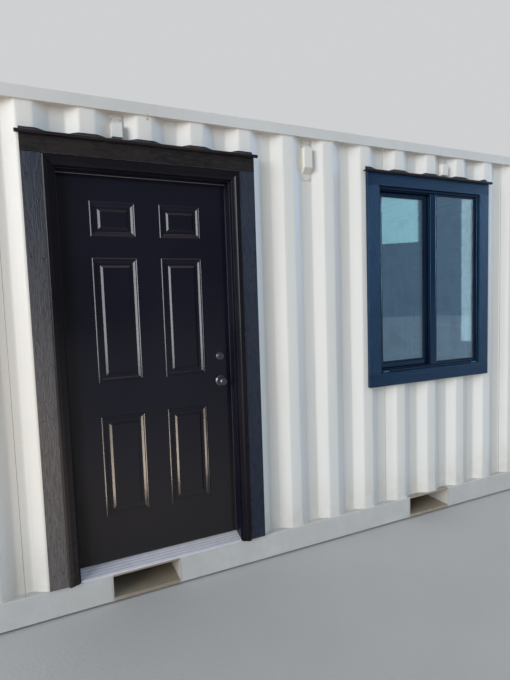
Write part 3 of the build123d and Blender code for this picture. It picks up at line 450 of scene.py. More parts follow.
# Inside the fork pockets the paint is darker and browner than on the rails: dirt and rust, and painted shade
# of the hollow
POCKET_SIDE_DIRT_AND_SHADE = painted_steel(
    "pocket_side_dirt_and_shade", (0.52, 0.51, 0.5), (0.42, 0.4, 0.37), (0.3, 0.23, 0.15), 0.3, 1.0)
POCKET_DIRT_AND_SHADE = painted_steel(
    "pocket_dirt_and_shade", (0.4, 0.34, 0.26), (0.28, 0.23, 0.17), (0.2, 0.15, 0.1), 0.3, 1.2)
CASTING_PAINT = painted_steel(
    "casting_paint", (0.66, 0.64, 0.58), (0.55, 0.52, 0.46), DUST, 0.3, 1.4, gloss=0.55)
CARGO_PAINT = painted_steel("cargo_paint", CREAM, CREAM_SHADE, DUST, 0.6, 0.6)
ROOF_PAINT = painted_steel("roof_paint", (0.7, 0.68, 0.62), (0.58, 0.56, 0.5), DUST, 0.3, 0.9, gloss=0.55)
VENT_PAINT = painted_steel("vent_paint", (0.74, 0.71, 0.64), CREAM_SHADE, DUST, 0.3, gloss=0.5)
LOCK_GEAR = galvanised("lock_gear")
TRIM_UPRIGHT = embossed_board(
    "trim_upright", "z", (0.003, 0.006, 0.015), (0.014, 0.021, 0.04), 0.36, shine=0.35)
TRIM_LEVEL = embossed_board(
    "trim_level", "x", (0.001, 0.001, 0.003), (0.022, 0.018, 0.016), 0.4, shine=0.15, patchy=0.8)
# The window boards are black; their navy base colour is a painted reflection of the blue sky
WINDOW_TRIM = embossed_board(
    "window_trim", "z", (0.001, 0.008, 0.026), (0.005, 0.02, 0.05), 0.32, shine=0.6, tint=SKY_REFLECTION_TINT)
WINDOW_TRIM_LEVEL = embossed_board(
    "window_trim_level", "x", (0.001, 0.007, 0.024), (0.005, 0.019, 0.048), 0.32, tint=SKY_REFLECTION_TINT)
MOULDING_BLACK = smooth_black(
    "moulding_black", (0.004, 0.004, 0.008), (0.017, 0.016, 0.023), 0.26, shine=0.22, warm_left=True)
JAMB_BLACK = smooth_black("jamb_black", (0.003, 0.003, 0.009), (0.014, 0.014, 0.026), 0.28, shine=0.25)
CAP_BLACK = smooth_black(
    "cap_black", (0.009, 0.007, 0.01), (0.04, 0.032, 0.036), 0.36, shine=0.25, grain=(90, 0.0008))
DOOR_BLACK = door_paint("door_black")
LOCK_BLACK = smooth_black("lock_black", (0.016, 0.018, 0.026), (0.06, 0.06, 0.066), 0.18, shine=0.7)
# Navy base of the black window frame and sashes, and the blue of the weep covers: painted reflection of the
# blue sky
WINDOW_BLACK = smooth_black(
    "window_black", (0.001, 0.003, 0.011), (0.008, 0.015, 0.034), 0.16, shine=0.55, tint=SKY_REFLECTION_TINT)
WEEP_BLUE_REFLECTION = smooth_black("weep_blue_reflection", (0.02, 0.12, 0.22), (0.05, 0.16, 0.26), 0.12)
HINGE_STEEL = brushed_steel("hinge_steel", (0.4, 0.39, 0.37), (0.6, 0.59, 0.56), 0.28)
SPACER = brushed_steel("spacer", (0.3, 0.31, 0.32), (0.46, 0.47, 0.48), 0.35)
GLASS = window_pane("window_glass")
RUBBER = rubber("rubber", (0.012, 0.012, 0.013), 0.62)
HEAD_SEAL = rubber("seal_brown", (0.2, 0.185, 0.2), 0.4)
CAULK = caulk("caulk")

NODE_MATERIALS = {
    WALL_PAINT: (*FRONT_WALLS, "back_wall", "end_wall", "corner_posts"),
    ROOF_PAINT: ("roof",),
    RAIL_PAINT: ("end_sills", "top_rails", "end_headers"),
    BASE_RAIL_PAINT: ("base_rails",),
    POCKET_SIDE_DIRT_AND_SHADE: ("fork_pocket_sides",),
    POCKET_DIRT_AND_SHADE: ("fork_pocket_plates",),
    CASTING_PAINT: ("corner_castings",),
    CARGO_PAINT: ("cargo_doors",),
    VENT_PAINT: ("wall_vents",),
    LOCK_GEAR: ("lock_rods", "cargo_door_hinges"),
    rusty_steel("base_paint", (0.05, 0.05, 0.05), 0.6): ("cross_members",),
    rusty_steel("tube_steel", (0.09, 0.09, 0.1), 0.15): ("opening_posts", "opening_headers"),
    plywood("plywood"): ("floor",),
    TRIM_UPRIGHT: ("door_trim_sides",),
    TRIM_LEVEL: ("door_trim_head",),
    WINDOW_TRIM: ("window_trim_sides",),
    WINDOW_TRIM_LEVEL: ("window_trim_head_and_sill",),
    MOULDING_BLACK: MOULDING,
    JAMB_BLACK: ("door_jambs", "door_head_jamb"),
    CAP_BLACK: ("drip_caps", "trim_closures"),
    DOOR_BLACK: ("door_slab",),
    LOCK_BLACK: ("door_knobs", "lock_fittings"),
    WINDOW_BLACK: ("window_frame_sides", "window_frame_head_and_sill", "window_sashes"),
    threshold_metal("sill_metal"): ("door_sill",),
    HINGE_STEEL: ("jamb_hinge_leaves", "slab_hinge_leaves"),
    GLASS: ("window_glass",),
}


def dress_nodes():
    """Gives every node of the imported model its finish."""
    for finish, names in NODE_MATERIALS.items():
        for name in names:
            nodes[name].data.materials.clear()
            nodes[name].data.materials.append(finish)


# Mesh tools

def spread(first, last, count):
    """Evenly spaced values from the first to the last."""
    return [first + n * (last - first) / (count - 1) for n in range(count)]


def both_ends(low, high, *insets):
    """Values at given distances from both ends of a span, in rising order."""
    return [low + inset for inset in insets] + [high - inset for inset in reversed(insets)]


def around(sides):
    """Angles of evenly spaced points round a circle."""
    return [2 * math.pi * n / sides for n in range(sides)]


def circle(middle, direction, radius, sides):
    """Points of a circle that lies square to a unit vector."""
    helper = Vector((0, 0, 1)) if abs(direction.z) < 0.9 else Vector((1, 0, 0))
    side = direction.cross(helper).normalized()
    up = side.cross(direction)
    return [middle + (side * math.cos(t) + up * math.sin(t)) * radius for t in around(sides)]


def ring_faces(bm, rings):
    """Joins rings of points into a skin, with flat caps at both ends."""
    loops = [[bm.verts.new(point) for point in ring] for ring in rings]
    count = len(loops[0])
    for near, far in zip(loops, loops[1:]):
        for i in range(count):
            j = (i + 1) % count
            bm.faces.new((near[i], near[j], far[j], far[i]))
    bm.faces.new(loops[0][::-1])
    bm.faces.new(loops[-1])


def cuboid(bm, low, high):
    (x0, y0, z0), (x1, y1, z1) = low, high
    ring_faces(bm, [[(x0, y0, z), (x1, y0, z), (x1, y1, z), (x0, y1, z)] for z in (z0, z1)])


def tube(bm, path, radius):
    """A round bead along a path."""
    points = [Vector(p) for p in path]
    rings = []
    for before, point, after in zip([points[0], *points], points, [*points[1:], points[-1]]):
        rings.append(circle(point, (after - before).normalized(), radius, 6))
    ring_faces(bm, rings)


def lathe(bm, profile, place, outward, sides=56):
    """A turned shape on an axis along Y: profile holds pairs of radius and reach."""
    x, y, z = place
    turns = around(sides)
    if outward > 0:
        turns = turns[::-1]
    rings = [[(x + r * math.cos(t), y + outward * reach, z + r * math.sin(t)) for t in turns]
             for r, reach in profile]
    ring_faces(bm, rings)


def stud(bm, place, normal, radius, height, sides=12):
    """A low domed head on a face: nail, screw or rivet."""
    place = Vector(place)
    normal = Vector(normal)
    dome = ((1, -0.2), (1, 0.35), (0.8, 0.8), (0.4, 1.0))      # shares of the radius and of the height
    rings = [circle(place + normal * rise * height, normal, radius * share, sides) for share, rise in dome]
    ring_faces(bm, rings)


def rounded(piece, width, segments=2, angle=30, smooth=True):
    """Rounds the edges of a piece, and shades it smoothly between them unless told not to."""
    weld = piece.modifiers.new("weld", "WELD")
    weld.merge_threshold = 0.00002
    bevel = piece.modifiers.new("bevel", "BEVEL")
    bevel.width = width
    bevel.segments = segments
    bevel.limit_method = "ANGLE"
    bevel.angle_limit = math.radians(angle)
    bevel.harden_normals = False
    if smooth:
        even = piece.modifiers.new("even", "WEIGHTED_NORMAL")
        even.weight = 90
        for polygon in piece.data.polygons:
            polygon.use_smooth = True


def add_piece(name, bm, material, body="cabin", replaces=(), smooth=None, bevel=0.0):
    """Makes a mesh into a piece: smooth is the angle in degrees up to which its shading runs on."""
    bmesh.ops.recalc_face_normals(bm, faces=bm.faces)
    mesh = bpy.data.meshes.new(name)
    bm.to_mesh(mesh)
    bm.free()
    mesh.materials.append(material)
    if smooth is not None:
        mesh.shade_smooth()
        mesh.set_sharp_from_angle(angle=math.radians(smooth))
    piece = bpy.data.objects.new(name, mesh)
    bpy.context.scene.collection.objects.link(piece)
    if bevel:
        rounded(piece, bevel, angle=35)
    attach(piece, body)
    if replaces:
        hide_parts(*replaces)
    return piece


# Folds of the wall

def fold_points(folds, start, end):
    """A folded line with rounded bends: pairs of place and depth."""
    pitch, flat, slope, depth, phase = folds
    corners = []
    for n in range(math.floor((start - phase) / pitch) - 1, math.ceil((end - phase) / pitch) + 1):
        a = phase + n * pitch
        corners += [(a, 0.0), (a + flat, 0.0), (a + flat + slope, depth), (a + pitch - slope, depth)]
    line = []
    for before, corner, after in zip(corners, corners[1:], corners[2:]):
        p0, p1, p2 = (Vector(p) for p in (before, corner, after))
        q0 = p1 + (p0 - p1).normalized() * FOLD_ROUND
        q2 = p1 + (p2 - p1).normalized() * FOLD_ROUND
        for t in (0.0, 0.25, 0.5, 0.75, 1.0):
            line.append((q0 * (1 - t) ** 2 + p1 * 2 * t * (1 - t) + q2 * t ** 2).to_tuple())
    inside = [p for p in line if start < p[0] < end]
    return [(start, depth_at(line, start)), *inside, (end, depth_at(line, end))]


def depth_at(line, place):
    """The depth of a folded line at a place along it."""
    for (u0, v0), (u1, v1) in zip(line, line[1:]):
        if u0 <= place <= u1:
            return v0 + (v1 - v0) * (place - u0) / max(u1 - u0, 1e-9)
    return line[-1][1]


def inner_flat(fold):
    """Where the inner flat of a fold of the long walls has its middle; fold 0 is near x = 0."""
    pitch, flat, slope, depth, phase = SIDE_FOLDS
    return phase + fold * pitch + (pitch + flat) / 2


def wave_height(x):
    """1 on the outer flats of the long walls, 0 in the inner ones, with a soft passage."""
    pitch, flat, slope, depth, phase = SIDE_FOLDS
    u = (x - phase) % pitch
    if u < flat:
        return 1.0
    if u < flat + slope:
        return (1 + math.cos(math.pi * (u - flat) / slope)) / 2
    if u < pitch - slope:
        return 0.0
    return (1 - math.cos(math.pi * (u - pitch + slope) / slope)) / 2


def front_place(u, v, z):
    return (u, WALL_FACE + v, z)


def back_place(u, v, z):
    return (u, -WALL_FACE - v, z)


def end_place(u, v, z):
    return (END_FACE + v, u, z)


# Walls: folded sheets with rounded bends and slight unevenness

def rear_line(front):
    """The inner line of a folded sheet: square to the outer one, and straight back at its ends."""
    line = []
    for i, (u, v) in enumerate(front):
        u0, v0 = front[max(i - 1, 0)]
        u1, v1 = front[min(i + 1, len(front) - 1)]
        run = Vector((u1 - u0, v1 - v0)).normalized()
        if i in (0, len(front) - 1):
            line.append((u, v + SHEET / max(run.x, 0.4)))
        else:
            line.append((u - run.y * SHEET, v + run.x * SHEET))
    return line


def swell(u, z, seed):
    """How far a sheet stands back from its true place at a point."""
    broad = noise.noise(Vector((u * 2.3, z * 1.7, seed)))
    fine = noise.noise(Vector((u * 7.0, z * 4.1, seed + 9)))
    return 0.0009 * (1.0 + max(-1.0, min(1.0, broad + 0.5 * fine)))


def add_sheet(name, folds, along, place, seed):
    """The folded sheet of a wall that runs along an axis; place maps along, depth and height."""
    box_low, box_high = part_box(name)
    start, end = box_low[along], box_high[along]
    front = fold_points(folds, start, end)
    outline = front + rear_line(front)[::-1]
    row_height = 0.07
    calm_border = 0.1
    rows = max(2, round((box_high.z - box_low.z) / row_height))
    rings = []
    for n, z in enumerate(spread(box_low.z, box_high.z, rows + 1)):
        calm = math.sin(math.pi * n / rows) ** 0.5
        ring = []
        for u, v in outline:
            edge = max(0.0, min(1.0, (u - start) / calm_border, (end - u) / calm_border))
            ring.append(place(u, v + calm * edge * swell(u, z, seed), z))
        rings.append(ring)
    bm = bmesh.new()
    ring_faces(bm, rings)
    add_piece(name + "_sheet", bm, WALL_PAINT, replaces=(name,), smooth=40)


def add_walls():
    for seed, name in enumerate(FRONT_WALLS):
        add_sheet(name, SIDE_FOLDS, 0, front_place, seed)
    add_sheet("back_wall", SIDE_FOLDS, 0, back_place, 20)
    add_sheet("end_wall", END_FOLDS, 1, end_place, 30)


def add_welds():
    """Weld beads where the long walls meet the rails, with a gap at the doorway."""
    bm = bmesh.new()
    lower = RAIL_TOP + 0.001
    upper = WALL_TOP - 0.001
    door_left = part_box("front_wall_left")[1].x
    door_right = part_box("front_wall_middle")[0].x
    for start, end, z, place in (
            (-WALL_REACH, door_left, lower, front_place), (door_right, WALL_REACH, lower, front_place),
            (-WALL_REACH, WALL_REACH, lower, back_place), (-WALL_REACH, WALL_REACH, upper, back_place),
            (-WALL_REACH, WALL_REACH, upper, front_place)):
        tube(bm, [place(u, v - 0.0005, z) for u, v in fold_points(SIDE_FOLDS, start, end)], 0.0032)
    add_piece("wall_welds", bm, WALL_PAINT, smooth=60)


def add_seams():
    """Upright seams at the middles of some inner flats, but drawn in the plane of the outer flats."""
    bm = bmesh.new()
    whole = (RAIL_TOP, WALL_TOP)
    trim_low, trim_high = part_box("window_trim_sides")
    for x in (inner_flat(fold) for fold in SEAM_FOLDS):
        behind_trim = trim_low.x < x < trim_high.x
        front = ((RAIL_TOP, SEAM_BREAK[0]), (SEAM_BREAK[1], WALL_TOP)) if behind_trim else (whole,)
        for place, stretches in ((front_place, front), (back_place, (whole,))):
            for low, high in stretches:
                steps = max(2, round((high - low) / 0.04))
                levels = enumerate(spread(low, high, steps + 1))
                tube(bm, [place(x + 0.0004 * math.sin(n * 2.4), -0.0004, z) for n, z in levels], 0.0017)
    # The seams are drawn darker than the wall: dirt along them, and a painted shadow line beside each weld
    add_piece("wall_seams", bm, SEAM_DIRT_AND_SHADE, smooth=60)


# Black trim: nails, sealant and fillers over the caps

def add_nails():
    """Nails in the boards round door and window, in slightly uneven rows."""
    bm = bmesh.new()
    rng = random.Random(7)

    def nail_rows(xs, zs):
        for x in xs:
            for z in zs:
                place = (x + rng.uniform(-0.003, 0.003), BOARD_FACE, z + rng.uniform(-0.006, 0.006))
                stud(bm, place, (0, -1, 0), 0.0032, 0.0007)

    low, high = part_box("door_trim_sides")
    head_low, head_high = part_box("door_trim_head")
    nail_rows(both_ends(low.x, high.x, 0.0225, 0.0665), spread(0.24, 2.19, 6))
    nail_rows(spread(low.x + 0.0515, high.x - 0.0515, 5), both_ends(head_low.z, head_high.z, 0.0205))
    low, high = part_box("window_trim_head_and_sill")
    nail_rows(both_ends(low.x, high.x, 0.022, 0.067), spread(1.12, 2.2, 4))
    nail_rows(spread(low.x + 0.055, high.x - 0.057, 5), both_ends(low.z, high.z, 0.022, 0.067))
    add_piece("trim_nails", bm, MOULDING_BLACK, smooth=50)


def add_sealant():
    """Thin lines of sealant between the moulding and the flat boards."""
    bm = bmesh.new()
    rng = random.Random(11)
    low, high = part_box("door_brickmould_sides")
    y = BOARD_FACE + 0.0002

    def waver(value):
        return value + rng.uniform(-0.0003, 0.0003)

    for x in (low.x, high.x):
        tube(bm, [(waver(x), y, z) for z in spread(low.z + 0.012, high.z - 0.0055, 90)], 0.0011)
    tube(bm, [(x, y, waver(high.z)) for x in spread(low.x + 0.0025, high.x - 0.0025, 61)], 0.0011)
    add_piece("trim_sealant", bm, CAULK, smooth=60)


def add_fillers():
    """Black fillers over both caps: they fill the folds, and their top runs in a soft wave."""
    bm = bmesh.new()
    reach = 0.02
    lip = 0.0035
    nose = WALL_FACE - reach
    for board in ("door_trim_head", "window_trim_head_and_sill"):
        low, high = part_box(board)
        foot = high.z + 0.002
        line = fold_points(SIDE_FOLDS, low.x, high.x)
        rings = []
        for x in sorted({round(u, 5) for u in [*(u for u, v in line), *spread(low.x, high.x, 71)]}):
            back = WALL_FACE + depth_at(line, x)
            top = 0.014 + 0.0135 * wave_height(x) + 0.0009 * noise.noise(Vector((x * 19, foot, 3)))
            ring = [(x, nose, foot), (x, nose - 0.0004, foot + lip)]
            for t in (0.25, 0.5, 0.75, 0.92):
                ring.append((x, nose + reach * t, foot + lip + (top - 0.0055) * t))
            ring += [(x, WALL_FACE - 0.0001, foot + top), (x, back, foot + top - 0.0005), (x, back, foot)]
            rings.append(ring)
        ring_faces(bm, rings)
    add_piece("closure_fillers", bm, CAP_BLACK, replaces=("trim_closures",), smooth=45)


# Entrance door: leaf with six pressed panels

def press_panel(bm, corners, box, face, inward):
    """A pressed panel inside four corners that are in place, ring by ring down to its raised field."""
    left, right, bottom, top = box
    for inset, depth in PANEL_PROFILE:
        x0, x1, z0, z1 = left + inset, right - inset, bottom + inset, top - inset
        y = face + inward * depth
        inner = [bm.verts.new(p) for p in ((x0, y, z0), (x1, y, z0), (x1, y, z1), (x0, y, z1))]
        for n in range(4):
            bm.faces.new((corners[n - 1], corners[n], inner[n], inner[n - 1]))
        corners = inner
    bm.faces.new(corners)


def leaf_face(bm, face, inward):
    """One face of the leaf: flat bars around six panels. Returns its grid of points."""
    near, far = PANEL_REACH
    xs = [LEAF_LEFT, *(DOOR_MIDDLE + reach for reach in (-far, -near, near, far)), LEAF_RIGHT]
    zs = [leaf_low.z, *(leaf_low.z + level for row in PANEL_LEVELS for level in row), leaf_high.z]
    grid = [[bm.verts.new((x, face, z)) for x in xs] for z in zs]
    for j in range(len(zs) - 1):
        for i in range(len(xs) - 1):
            corners = [grid[j][i], grid[j][i + 1], grid[j + 1][i + 1], grid[j + 1][i]]
            if i % 2 and j % 2:
                press_panel(bm, corners, (xs[i], xs[i + 1], zs[j], zs[j + 1]), face, inward)
            else:
                bm.faces.new(corners)
    return grid


def add_door_leaf():
    bm = bmesh.new()
    front = leaf_face(bm, SLAB_FRONT, 1)
    back = leaf_face(bm, SLAB_BACK, -1)
    for row in (0, -1):
        for a, b, c, d in zip(front[row], front[row][1:], back[row][1:], back[row]):
            bm.faces.new((a, b, c, d))
    for column in (0, -1):
        for near, far, near2, far2 in zip(front, front[1:], back, back[1:]):
            bm.faces.new((near[column], far[column], far2[column], near2[column]))
    leaf = add_piece("door_leaf", bm, DOOR_BLACK, "door", replaces=("door_slab",))
    rounded(leaf, 0.0016, angle=70, smooth=False)


# Entrance door: locks, plates, seals and screws

def add_knobs():
    """A knob on each face of the leaf, with the spindle between them."""
    bm = bmesh.new()
    lathe(bm, KNOB_SHAPE, (LOCK_X, SLAB_FRONT - 0.0003, KNOB_LEVEL), -1)
    lathe(bm, KNOB_SHAPE, (LOCK_X, SLAB_BACK + 0.0003, KNOB_LEVEL), 1)
    lathe(bm, SPINDLE_SHAPE, (LOCK_X, SLAB_FRONT - 0.002, KNOB_LEVEL), 1, 20)
    add_piece("turned_knobs", bm, LOCK_BLACK, "knob", replaces=("door_knobs",), smooth=40)


def add_roses():
    """The knobs' roses, the deadbolt's cylinder outside and its plate inside."""
    bm = bmesh.new()
    for shape, face, level, outward in (
            (ROSE_SHAPE, SLAB_FRONT, KNOB_LEVEL, -1), (ROSE_SHAPE, SLAB_BACK, KNOB_LEVEL, 1),
            (CYLINDER_SHAPE, SLAB_FRONT, BOLT_LEVEL, -1), (PLATE_SHAPE, SLAB_BACK, BOLT_LEVEL, 1)):
        lathe(bm, shape, (LOCK_X, face, level), outward)
    add_piece("turned_roses", bm, LOCK_BLACK, "door", replaces=("lock_fittings",), smooth=40)


def add_thumb_turn():
    """The deadbolt's turn piece inside: an upright oval that narrows outwards."""
    bm = bmesh.new()
    rings = []
    for reach, half in ((0.0075, 0.0035), (0.011, 0.0048), (0.02, 0.0042), (0.026, 0.0034), (0.028, 0.002)):
        tall = 0.019 * (1 - (reach / 0.06) ** 2)
        rings.append([(LOCK_X + half * math.cos(t), SLAB_BACK + reach, BOLT_LEVEL + tall * math.sin(t))
                      for t in around(20)])
    ring_faces(bm, rings)
    add_piece("deadbolt_turn", bm, LOCK_BLACK, "door", smooth=50)


def add_keyway(name, body, level, near, far):
    """A dark key slot between two distances from the face of the leaf."""
    bm = bmesh.new()
    half_width, half_height = 0.0008, 0.0042
    low = (LOCK_X - half_width, SLAB_FRONT - far, level - half_height)
    high = (LOCK_X + half_width, SLAB_FRONT - near, level + half_height)
    cuboid(bm, low, high)
    add_piece(name, bm, RUBBER, body)


def lock_plate(bm, x0, x1, half_depth, level, screw_lift, outward):
    """A plate on the edge of the leaf or on the jamb, with its two screws."""
    middle = SLAB_FRONT + 0.023
    foot, top = level - 0.0285, level + 0.0285
    cuboid(bm, (x0, middle - half_depth, foot), (x1, middle + half_depth, top))
    face = x1 if outward > 0 else x0
    for z in (level - screw_lift, level + screw_lift):
        stud(bm, (face, middle, z), (outward, 0, 0), 0.0035, 0.0006)


def add_lock_plates():
    """Latch plates with the latch on the leaf, and strike plates on the jamb."""
    edge = leaf_high.x
    latch = bmesh.new()
    strike = bmesh.new()
    for level in (KNOB_LEVEL, BOLT_LEVEL):
        lock_plate(latch, edge - 0.0007, edge + 0.0003, 0.013, level, 0.021, 1)
        lock_plate(strike, JAMB_RIGHT - 0.0006, JAMB_RIGHT + 0.0002, 0.0155, level, 0.022, -1)
    low = (edge, SLAB_FRONT + 0.0165, KNOB_LEVEL - 0.009)
    high = (edge + 0.0037, SLAB_FRONT + 0.0285, KNOB_LEVEL + 0.009)
    cuboid(latch, low, high)
    add_piece("latch_plates", latch, HINGE_STEEL, "door", bevel=0.0003)
    add_piece("strike_plates", strike, HINGE_STEEL, bevel=0.0003)


def seal(bm, ends, across):
    """A soft strip that fills the gap between stop and leaf, rounded on the side of the opening."""
    rear = SLAB_FRONT - 0.0006
    middle = (STOP_FACE + rear) / 2
    half = (rear - STOP_FACE) / 2
    profile = ((-0.0028, 0.3), (-0.0018, 0.85), (0.0, 1.0), (0.008, 1.0))
    outline = [*profile, *((a, -d) for a, d in profile[::-1])]
    rings = [[Vector((x, middle + d * half, z)) + Vector(across) * a for a, d in outline] for x, z in ends]
    ring_faces(bm, rings)


def add_door_seals():
    """Foam seals against the stops, the one at the head apart."""
    foot = leaf_low.z + 0.002
    bm = bmesh.new()
    seal(bm, ((STOP_RIGHT, foot), (STOP_RIGHT, STOP_HEAD)), (1, 0, 0))
    seal(bm, ((STOP_LEFT, foot), (STOP_LEFT, STOP_HEAD)), (-1, 0, 0))
    add_piece("door_side_seals", bm, RUBBER, smooth=60)
    bm = bmesh.new()
    seal(bm, ((STOP_LEFT, STOP_HEAD), (STOP_RIGHT, STOP_HEAD)), (0, 0, 1))
    add_piece("door_head_seal", bm, HEAD_SEAL, smooth=60)


def add_door_sweep():
    """Four rubber fins under the leaf."""
    bm = bmesh.new()
    for n in range(4):
        y = SLAB_FRONT + 0.0045 + n * 0.0105
        cuboid(bm, (leaf_low.x + 0.0035, y, leaf_low.z - 0.0044),
               (leaf_high.x - 0.0045, y + 0.003, leaf_low.z + 0.0005))
    add_piece("door_sweep", bm, RUBBER, "door")


def add_hinge_screws():
    """Four staggered screws in each leaf of the three hinges."""
    door = bmesh.new()
    cabin = bmesh.new()
    low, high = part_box("slab_hinge_leaves")
    half_hinge = 0.051
    for level in spread(low.z + half_hinge, high.z - half_hinge, 3):
        for lift, inset in ((-0.036, 0.022), (-0.012, 0.012), (0.012, 0.012), (0.036, 0.022)):
            y = SLAB_BACK - inset
            stud(door, (leaf_low.x, y, level + lift), (-1, 0, 0), 0.0036, 0.0006)
            stud(cabin, (JAMB_LEFT, y, level + lift), (1, 0, 0), 0.0036, 0.0006)
    add_piece("slab_hinge_screws", door, HINGE_STEEL, "door", smooth=50)
    add_piece("jamb_hinge_screws", cabin, HINGE_STEEL, smooth=50)


# Window: double panes with a spacer, gaskets, tracks, weep covers and a latch

def frame_ring(bm, pane, grow, shrink, y0, y1):
    """A flat ring around the sight size of a pane, from outside its edge to inside it."""
    left, right, bottom, top = pane[:4]
    x0, x1, z0, z1 = left - grow, right + grow, bottom - grow, top + grow
    x2, x3, z2, z3 = left + shrink, right - shrink, bottom + shrink, top - shrink
    for a, b, low, high in ((x0, x1, z0, z2), (x0, x1, z3, z1), (x0, x2, z2, z3), (x3, x1, z2, z3)):
        cuboid(bm, (a, y0, low), (b, y1, high))


def add_panes():
    """Two thin panes in each light, with a spacer between them and a gasket on both faces."""
    glass = bmesh.new()
    spacer = bmesh.new()
    gasket = bmesh.new()
    cover = 0.007
    for pane in (FIXED_PANE, SLIDING_PANE):
        left, right, bottom, top, face = pane
        for y in (face, face + 0.012):
            cuboid(glass, (left - cover, y, bottom - cover), (right + cover, y + 0.004, top + cover))
        frame_ring(spacer, pane, 0.0065, 0.0045, face + 0.0042, face + 0.0118)
        for y in (face - 0.0012, face + 0.0158):
            frame_ring(gasket, pane, 0.0005, 0.0022, y, y + 0.0014)
    add_piece("double_panes", glass, GLASS, replaces=("window_glass",))
    add_piece("pane_spacers", spacer, SPACER)
    add_piece("pane_gaskets", gasket, RUBBER)


def add_sash_tracks():
    """Thin rails in the frame: two above and below the sliding sash, and two along the whole sill."""
    bm = bmesh.new()
    low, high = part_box("window_sashes")
    left = low.x + 0.0005
    foot = low.z - 0.001
    for y in (low.y + 0.006, low.y + 0.0155):
        for bottom, top in ((foot, low.z + 0.0075), (high.z - 0.007, high.z + 0.001)):
            cuboid(bm, (left, y, bottom), (SASH_MEETING, y + 0.0022, top))
    for y in (low.y + 0.0285, low.y + 0.0625):
        cuboid(bm, (left, y, foot), (high.x - 0.0005, y + 0.0016, low.z + 0.0055))
    add_piece("sash_tracks", bm, WINDOW_BLACK, bevel=0.0005)


def add_weep_covers():
    """Two small hoods over the drain slots at the foot of the frame."""
    bm = bmesh.new()
    low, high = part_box("window_frame_sides")
    length = 0.046
    hood = ((0.0001, 0.0115), (0.0035, 0.0095), (0.0055, 0.0035), (0.0052, 0.0025), (0.0001, 0.0025))
    for left in (low.x + 0.029, high.x - 0.024 - length):
        ring_faces(bm, [[(x, low.y - out, low.z + up) for out, up in hood] for x in (left, left + length)])
    add_piece("weep_covers", bm, WEEP_BLUE_REFLECTION, bevel=0.0005)


def add_sash_latch():
    bm = bmesh.new()
    inner_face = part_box("window_sashes")[1].y
    right = SASH_MEETING + 0.004
    cuboid(bm, (right - 0.018, inner_face - 0.0002, 1.62), (right, inner_face + 0.016, 1.7))
    cuboid(bm, (right - 0.014, inner_face + 0.0158, 1.64), (SASH_MEETING, inner_face + 0.028, 1.655))
    add_piece("sash_latch", bm, WINDOW_BLACK, bevel=0.0015)


# Vents: screws, slots, rims and dark lines round them, of dirt and painted shade

def add_vent_details():
    screws = bmesh.new()
    slots = bmesh.new()
    rims = bmesh.new()
    dirt = bmesh.new()
    low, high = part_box("wall_vents")
    wall, foot, top = high.y, low.z, high.z
    rim = 0.0025
    for fold in VENT_FOLDS:
        x = inner_flat(fold)
        left, right = x - VENT_HALF, x + VENT_HALF
        ends = [(0.022, top - 0.021, top - 0.0005, top - 0.046)]
        if fold == OPEN_VENT_FOLD:
            ends.append((0.02, foot + 0.012, foot + 0.0005, foot + 0.034))
            for n in range(3):
                y = wall - 0.0046 - n * 0.0094
                z = foot + 0.041 + n * 0.0105
                cuboid(slots, (x - 0.021, y - 0.0012, z), (x + 0.021, y + 0.004, z + 0.0035))
        for x0, x1, z0, z1 in (
                (left, right, top - 0.003, top), (left, left + rim, top - 0.046, top - 0.003),
                (right - rim, right, top - 0.046, top - 0.003)):
            cuboid(rims, (x0, wall - 0.0055, z0), (x1, wall - 0.0015, z1))
        for reach, screw_level, edge, inner in ends:
            for side in (-1, 1):
                stud(screws, (x + side * reach, wall - 0.002, screw_level), (0, -1, 0), 0.0046, 0.0022)
            # Dark lines round the flanges: dirt, and painted shade where a flange meets the wall
            a, b, y = left - 0.0005, right + 0.0005, wall - 0.0004
            corners = ((a, y, inner), (a, y, edge), (b, y, edge), (b, y, inner))
            for path in zip(corners, corners[1:]):
                tube(dirt, path, 0.0014)
    add_piece("vent_seams", dirt, SEAM_DIRT_AND_SHADE, smooth=60)
    add_piece("vent_screws", screws, LOCK_GEAR, smooth=50)
    add_piece("vent_slots", slots, RUBBER)
    add_piece("vent_rims", rims, VENT_PAINT, bevel=0.0006)


# Cargo doors: gaskets, bolts and catches

def add_cargo_gaskets():
    """Rubber round both leaves of the cargo doors."""
    bm = bmesh.new()
    low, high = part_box("cargo_doors")
    lap = 0.0045
    cover = 0.012
    edge = high.y + lap
    strips = (
        (0.0012, edge, low.z - lap, low.z + cover), (0.0012, edge, high.z - cover, high.z + lap),
        (high.y - cover, edge, low.z, high.z), (0.0008, 0.016, low.z, high.z))
    for side in (-1, 1):
        for near, far, bottom, top in strips:
            left, right = sorted((side * near, side * far))
            cuboid(bm, (CARGO_FACE - 0.03, left, bottom), (CARGO_FACE + 0.004, right, top))
    add_piece("cargo_gaskets", bm, RUBBER, bevel=0.001)


def rod_fittings(bm, y, catch):
    """The bolted plates that carry a lock rod, and the catch for its handle."""
    low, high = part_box("lock_rods")
    plate_face = CARGO_FACE + 0.004
    for share in (1 / 3, 2 / 3):
        z = low.z + 0.025 + (high.z - low.z - 0.05) * share
        for plate in (y - 0.04, y + 0.04):
            cuboid(bm, (CARGO_FACE, plate - 0.014, z - 0.022), (plate_face, plate + 0.014, z + 0.022))
            for lift in (-0.012, 0.012):
                stud(bm, (plate_face, plate, z + lift), (1, 0, 0), 0.006, 0.005, 6)
    catch_top = CATCH_LEVEL + 0.017
    cuboid(bm, (CARGO_FACE, catch - 0.016, CATCH_LEVEL), (CARGO_FACE + 0.03, catch + 0.016, catch_top))
    stud(bm, (CARGO_FACE + 0.015, catch, catch_top + 0.0005), (0, 0, 1), 0.006, 0.004, 6)


